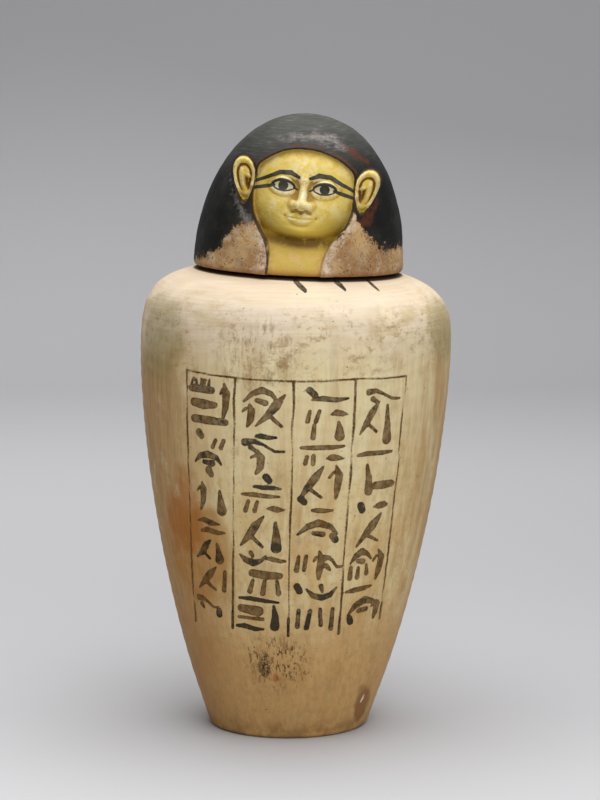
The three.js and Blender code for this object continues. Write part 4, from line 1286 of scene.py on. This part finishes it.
def face_paint(u, v, skin, ear):
    """Distances to the black lines, the whites, the irises and the outline, below 0 inside them, in mm."""
    a = np.abs(u)
    corner = EYE_MIDDLE + EYE_HALF_WIDTH
    brow = (
        (3.4, BROW_LEVEL + 0.4, 1.0), (8.5, BROW_LEVEL + 2.8, 1.5), (15, BROW_LEVEL + 2.4, 1.4),
        (21, BROW_LEVEL - 0.6, 1.15), (29.5, BROW_LEVEL - 4.8, 0.9),
    )
    tail = (
        (corner - 1.2, EYE_LEVEL + 0.2, 0.9), (corner + 3, EYE_LEVEL - 1.2, 1.15),
        (29.6, EYE_LEVEL - 3.2, 1.0),
    )
    inner = ((EYE_MIDDLE - 6.6, EYE_LEVEL - 0.4, 0.7), (EYE_MIDDLE - 8.8, EYE_LEVEL - 1.6, 0.4))
    lines, _ = brushed(a, v, [(brow, 1), (tail, 1), (inner, 1)])
    eye = eye_inside(a, v)
    across, level = eye_place(a, v)
    across = np.abs(across)
    upper = smooth(level, -0.4, 0.4)
    rim = np.abs(eye + 0.35 + 0.25 * upper) - (0.5 + 0.5 * upper)
    line = np.minimum(lines, np.where(across < 1.05, rim, FAR))
    white = np.where(across < 1.0, -eye - 0.1, FAR)
    iris = np.maximum(np.hypot(a - EYE_MIDDLE, v - EYE_LEVEL - 0.3) - 3.0, -eye - 0.3)
    # The outline is heavy down the left and thin along the fringe, and it has gone at the lower right
    height = v + CHIN_HEIGHT
    left = np.where(u < 0, 0.7 - 0.5 * smooth(v, 34, 46), 0.0)
    right = np.where(u >= 0, 0.95 * smooth(height, 21, 27) - 0.7 * smooth(v, 30, 44), 0.0)
    edge = np.abs(skin + 0.5) - left - right
    around = np.abs(ear + 0.4) - 0.4 - 0.6 * dab(a, v, 36, 18, 8, 9) - 0.3 * dab(a, v, 30, 38, 4, 5)
    edge = np.where(ear > 0.6, FAR, np.minimum(edge, np.where(skin > 1.5, FAR, around)))
    hidden = (skin < -1.0) | (ear > 0)
    drawn = {"line": line, "white": white, "iris": iris}
    return {**{name: np.where(hidden, FAR, each) for name, each in drawn.items()}, "outline": edge}


# The lid's paint

WIG_BROWN = srgb(48, 46, 41)
WIG_RUB_AND_SHEEN = srgb(132, 130, 124)
WIG_DARK = srgb(34, 34, 31)
WIG_SCUFF = srgb(104, 100, 92)
WORN_AND_SHEEN_WIG = (srgb(110, 104, 102), srgb(168, 158, 152))
CLAY_BROWN = srgb(164, 124, 80)
CLAY_PALE = srgb(212, 196, 172)
CLAY_GREY = srgb(174, 156, 130)
CLAY_SCUFF = srgb(226, 212, 200)
CLAY_DARK = srgb(120, 86, 52)
CLAY_FLECK = srgb(44, 36, 30)
CLAY_RIM = srgb(150, 98, 56)
THROAT = srgb(178, 150, 72)
WORN_THROAT = srgb(206, 166, 116)
CHIN_SHADE = srgb(110, 76, 20)
NECK_FOOT = srgb(176, 118, 62)
SKIN_SPECK = srgb(120, 88, 44)
EAR_OCHRE = srgb(202, 156, 58)
EAR_GROOVE_LINE_AND_SHADE = srgb(96, 50, 26)
OUTLINE = srgb(44, 28, 20)
EYE_WHITE = srgb(226, 212, 180)
LINE_BLACK = (srgb(26, 25, 24), srgb(58, 58, 56))


class LidSurface(Surface):
    """The lid's surface, with what its points hold, in mm, and the grains that several paints share."""

    def __init__(self):
        super().__init__("painted_lid")
        self.skin, self.ear, self.sunk = (self.attribute(name) for name in ("skin", "ear", "sunk"))
        self.z = self.attribute("lid_z")
        self.broad = self.noise(0.02, 4, 0.6)
        self.blotch = self.noise(0.007, 5, 0.65)
        self.fine = self.noise(0.002, 4, 0.65)
        self.grain = self.noise(0.0007, 3, 0.6)
        self.strand = self.noise(0.0016, 5, 0.7, (9, 9, 0.5))
        self.speck = self.swing(0.0016, 5, 0.75)
        self.rough = self.math("SUBTRACT", self.fine, 0.5)
        self.rougher = self.math("SUBTRACT", self.blotch, 0.5)
        # How far below the ragged edge of the bare clay a place lies
        ragged = (self.rough, 4.0), (self.speck, 14.0), (self.rougher, 15.0)
        self.under = self.plus(self.attribute("bare"), *ragged)


def wig_paint(s, form):
    """Black paint, rubbed grey with painted sheen on the crown and a painted highlight along the fringe, with
    its red-brown ground showing through.
    """
    s.colour = s.mix(s.step(s.broad, 0.42, 0.75), form.wig, WIG_BROWN)
    # Rubbed grey paint and painted sheen, growing towards the crown, with grey strands of both
    high = s.step(s.z, 50.0, 94.0)
    s.coat(high, form.dust_and_sheen, 0.42)
    s.coat(s.both(high, s.step(s.strand, 0.5, 0.68)), WIG_RUB_AND_SHEEN, 0.32)
    s.coat(s.both(high, s.step(s.strand, 0.46, 0.34)), WIG_DARK, 0.4)
    s.coat(s.both(s.step(s.strand, 0.58, 0.7), s.step(s.blotch, 0.46, 0.6)), WIG_SCUFF, 0.3)
    combed = s.math("MULTIPLY", s.swing(0.0012, 5, 0.75, (7, 7, 0.8)), s.step(s.z, 54.0, 70.0))
    # Rubbed paint, partly a painted highlight along the fringe
    worn = s.plus(s.attribute("worn"), (s.rougher, 15.0), (s.rough, 11.0), (combed, 15.0))
    s.coat(s.step(worn, 0.4, -4.5), s.mix(s.step(s.fine, 0.4, 0.6), *WORN_AND_SHEEN_WIG), 0.62)
    rusty = s.plus(s.attribute("rusty"), (combed, 10.0), (s.rough, 8.0), (s.rougher, 12.0))
    s.coat(s.step(rusty, 0.6, -2.5), form.rust, 0.68)
    hairline = s.step(s.math("ABSOLUTE", s.math("ADD", s.skin, 2.1)), 0.9, 0.2)
    s.coat(s.both(hairline, s.step(s.z, 56.0, 62.0), s.step(s.blotch, 0.4, 0.55)), form.rust, 0.75)
    rusty_edge = s.step(s.math("ABSOLUTE", s.under), 2.6, 0.4)
    s.coat(s.both(rusty_edge, s.step(s.fine, 0.45, 0.6)), form.rust, 0.6)
    return s.colour


def bare_clay(s, form):
    """Clay on the lower front of the wig and along the rim, blotched, scuffed near the face and flecked."""
    s.colour = s.mix(s.step(s.broad, 0.4, 0.62), form.bare, CLAY_BROWN)
    s.coat(s.step(s.blotch, 0.5, 0.64), CLAY_PALE, 0.5)
    s.coat(s.both(s.step(s.z, 26.0, 6.0), s.step(s.blotch, 0.5, 0.38)), CLAY_GREY, 0.6)
    s.coat(s.both(s.step(s.skin, -9.0, -3.0), s.patches(0.44, 0.58, 0.003, 4, 0.7)), CLAY_SCUFF, 0.55)
    s.coat(s.patches(0.54, 0.66, 0.004, 5, 0.75), CLAY_DARK, 0.5)
    s.coat(s.both(s.step(s.speck, 0.05, 0.12), s.patches(0.4, 0.56, 0.009, 3)), CLAY_FLECK, 0.85)
    s.coat(s.step(s.z, 3.5, 0.5), CLAY_RIM, 0.5)
    return s.colour


def skin_paint(s, form):
    """Yellow paint, cream where it stands proud, ochre where it is sunk as paint kept there and painted
    shade, painted shade along the face's edges, in the ears and under the chin, and worn on the throat.
    """
    scoured, scrubbed = s.plus(s.blotch, (s.rough, 0.6)), s.plus(s.blotch, (s.rough, 0.5))
    off_ears, on_ears = s.step(s.ear, 0.0, -1.0), s.step(s.ear, 0.0, 0.8)
    proud = s.step(s.plus(s.sunk, (s.rough, 0.25)), 0.06, -0.35)
    pale = s.math("MAXIMUM", s.math("MULTIPLY", s.attribute("middle"), 0.75), proud)
    pale = s.both(pale, s.step(scoured, 0.3, 0.62), s.step(s.z, 25.0, 38.0))
    s.colour = s.mix(pale, form.yellow, form.cream)
    # Ochre in the hollows: paint kept there, and painted shade
    s.coat(s.step(s.plus(s.sunk, (s.rough, 0.3)), 0.1, 0.6), form.ochre, 0.8)
    # Painted shade along the edges of the face and neck next to the wig
    s.coat(s.both(s.step(s.plus(s.skin, (s.rougher, 5.0)), 4.5, 0.5), off_ears), form.ochre, 0.5)
    throat = s.both(s.step(s.plus(s.z, (s.rougher, 12.0)), 24.0, 18.0), off_ears)
    s.coat(throat, THROAT, 0.65)
    s.coat(s.both(throat, s.step(scrubbed, 0.46, 0.62)), WORN_THROAT, 0.55)
    s.coat(s.both(s.step(s.attribute("chin"), 0.1, 0.8), s.step(scrubbed, 0.2, 0.5)), CHIN_SHADE, 0.85)
    s.coat(s.step(s.z, 6.0, 0.0), NECK_FOOT, 0.6)
    s.coat(s.patches(0.66, 0.7, 0.0013, 3, 0.7), SKIN_SPECK, 0.6)
    s.coat(s.both(on_ears, s.step(s.blotch, 0.42, 0.6)), EAR_OCHRE, 0.6)
    # Dark paint and painted shade in the ear's hollows
    groove = s.step(s.plus(s.sunk, (s.rough, 0.3), (s.rougher, 0.7)), 0.08, 0.38)
    s.coat(s.both(s.step(s.ear, 0.0, 0.6), groove), EAR_GROOVE_LINE_AND_SHADE, 0.85)
    return s.colour


def black_lines(s):
    """The broken outline of the face and ears, the whites, and the lines of the eyes and brows."""
    outline = s.step(s.plus(s.attribute("outline"), (s.rough, 1.5)), 0.25, -0.25)
    s.coat(s.both(outline, s.step(s.plus(s.blotch, (s.rough, 0.6)), 0.3, 0.44)), OUTLINE, 0.9)
    s.coat(s.step(s.plus(s.attribute("white"), (s.rough, 0.3)), 0.12, -0.12), EYE_WHITE)
    dark = s.math("MINIMUM", s.attribute("line"), s.attribute("iris"))
    line = s.step(s.plus(dark, (s.rough, 0.5)), 0.14, -0.14)
    s.coat(line, s.mix(s.step(s.blotch, 0.4, 0.6), *LINE_BLACK), 0.95)


def lid_material(form):
    """Worn black paint on the wig, yellow on the skin, bare clay and red-brown ground where it has gone."""
    s = LidSurface()
    wig, clay, skin = wig_paint(s, form), bare_clay(s, form), skin_paint(s, form)
    s.colour = s.mix(s.step(s.under, -1.2, 1.2), wig, clay)
    painted = s.plus(s.math("MAXIMUM", s.skin, s.ear), (s.rough, 0.6))
    s.coat(s.step(painted, -0.2, 0.2), skin)
    black_lines(s)
    height = s.plus(0.0, (s.grain, 0.35), (s.fine, 0.65))
    return s.finish(s.plus(0.46, (s.broad, 0.2)), 0.18, height, 0.0005)


# The studio

JAR_MIDDLE = (0, 0, 0.19)
# Each light's name, its setting, where it hangs, where it looks, and its width and height
LIGHTS = (
    ("top_light", "key_power", (0.08, 0.0, 1.75), (0, 0, 0.1), (2.0, 1.6)),
    ("back_light", "back_power", (0, 1.5, 1.9), (0, 1.6, 0), (3.0, 1.2)),
    ("right_light", "fill_power", (1.5, -1.0, 0.8), JAR_MIDDLE, (0.8, 1.2)),
    ("front_light", "front_power", (0.35, -1.35, 1.25), JAR_MIDDLE, (1.0, 0.8)),
)


def soft_light(name, power, place, target, size):
    lamp = bpy.data.lights.new(name, "AREA")
    lamp.shape = "RECTANGLE"
    lamp.size, lamp.size_y = size
    lamp.energy = power
    holder = bpy.data.objects.new(name, lamp)
    holder.location = place
    holder.rotation_euler = (Vector(target) - Vector(place)).to_track_quat("-Z", "Y").to_euler()
    bpy.context.scene.collection.objects.link(holder)


def light_from_all_round(strength):
    world = bpy.data.worlds.new("studio")
    world.use_nodes = True
    background = world.node_tree.nodes["Background"]
    background.inputs["Color"].default_value = (1, 1, 1, 1)
    background.inputs["Strength"].default_value = strength
    bpy.context.scene.world = world


def place_camera(studio):
    camera = bpy.data.cameras.new("camera")
    camera.lens = studio.focal_length
    holder = bpy.data.objects.new("camera", camera)
    holder.location = (0, -studio.camera_distance, studio.camera_height)
    holder.rotation_euler = (math.pi / 2 - studio.camera_pitch, 0, -studio.camera_yaw)
    bpy.context.scene.collection.objects.link(holder)
    bpy.context.scene.camera = holder


def paper_material(near, far):
    """Paper with painted shade, darker high up, at the right and round the jar."""
    s = Surface("paper")
    x, y, z = s.parts(s.point)[:3]
    # Painted shade: darker high up, at the right, and on the floor round the jar
    shade = s.plus(s.step(z, 0.02, 0.42), (s.step(x, -0.35, 0.4), 0.4))
    painted_shade_by_jar = s.both(s.step(y, -0.2, 0.05), s.step(y, 1.1, 0.4))
    shade = s.math("MINIMUM", s.plus(shade, (painted_shade_by_jar, 0.4)), 1.0)
    s.feed(s.shader.inputs["Base Color"], s.mix(shade, near, far))
    s.feed(s.shader.inputs["Roughness"], 0.9)
    return s.material


def paper_sweep(near, far):
    """A floor that curves up behind the jar into a backdrop."""
    reach, back, bend, top = 4.0, 1.5, 0.7, 3.0
    turn = np.linspace(0, math.pi / 2, 25)
    path = [(-reach, 0.0), (back, 0.0)]
    path += [(back + bend * math.sin(t), bend * (1 - math.cos(t))) for t in turn[1:]]
    path.append((back + bend, top))
    points = [(side * reach, y, z) for y, z in path for side in (-1, 1)]
    faces = [(2 * i, 2 * i + 1, 2 * i + 3, 2 * i + 2) for i in range(len(path) - 1)]
    mesh = bpy.data.meshes.new("paper")
    mesh.from_pydata(points, [], faces)
    mesh.shade_smooth()
    mesh.materials.append(paper_material(near, far))
    paper = bpy.data.objects.new("paper", mesh)
    bpy.context.scene.collection.objects.link(paper)


class CANOPIC_OT_stage(bpy.types.Operator):
    """Lay the paper, set the lights and place the camera"""

    bl_idname = "canopic.stage"
    bl_label = "Studio"

    def execute(self, context):
        studio = context.scene.canopic_stage
        paper_sweep(studio.floor, studio.far)
        for name, power, place, target, size in LIGHTS:
            soft_light(name, getattr(studio, power), place, target, size)
        light_from_all_round(studio.ambient)
        context.scene.view_settings.view_transform = "Standard"
        place_camera(studio)
        return {"FINISHED"}


class CANOPIC_OT_jar(bpy.types.Operator):
    """Turn the hollow jar, and paint its slip, stains and strokes"""

    bl_idname = "canopic.jar"
    bl_label = "Jar"

    def execute(self, context):
        form = context.scene.canopic_jar
        material = jar_material(form)
        mesh = turned_vessel(form, material)
        paint_panel(mesh, form)
        jar = bpy.data.objects.new("painted_jar", mesh)
        context.scene.collection.objects.link(jar)
        dress(jar, "jar", material)
        return {"FINISHED"}


class CANOPIC_OT_lid(bpy.types.Operator):
    """Carve the head that closes the jar, and paint it"""

    bl_idname = "canopic.lid"
    bl_label = "Lid"

    def execute(self, context):
        form = context.scene.canopic_lid
        mesh = lid_mesh(form, context.scene.canopic_jar)
        lid = bpy.data.objects.new("painted_lid", mesh)
        context.scene.collection.objects.link(lid)
        dress(lid, "lid", lid_material(form))
        return {"FINISHED"}


class CANOPIC_PT_panel(bpy.types.Panel):
    """Lists the pieces and their settings"""

    bl_idname = "CANOPIC_PT_panel"
    bl_label = "Canopic Jar"
    bl_space_type = "VIEW_3D"
    bl_region_type = "UI"
    bl_category = "Canopic Jar"

    def draw(self, context):
        groups = (
            (CANOPIC_OT_stage, context.scene.canopic_stage),
            (CANOPIC_OT_jar, context.scene.canopic_jar),
            (CANOPIC_OT_lid, context.scene.canopic_lid),
        )
        for operator, settings in groups:
            box = self.layout.box()
            box.operator(operator.bl_idname)
            for name in settings.__annotations__:
                box.prop(settings, name)


CLASSES = (
    StageSettings,
    JarSettings,
    LidSettings,
    CANOPIC_OT_stage,
    CANOPIC_OT_jar,
    CANOPIC_OT_lid,
    CANOPIC_PT_panel,
)


def register():
    for each in CLASSES:
        bpy.utils.register_class(each)
    bpy.types.Scene.canopic_stage = PointerProperty(type=StageSettings)
    bpy.types.Scene.canopic_jar = PointerProperty(type=JarSettings)
    bpy.types.Scene.canopic_lid = PointerProperty(type=LidSettings)


def unregister():
    for name in ("canopic_stage", "canopic_jar", "canopic_lid"):
        delattr(bpy.types.Scene, name)
    for each in reversed(CLASSES):
        bpy.utils.unregister_class(each)


def main():
    register()
    bpy.ops.canopic.stage()
    bpy.ops.canopic.jar()
    bpy.ops.canopic.lid()


if __name__ == "__main__":
    main()
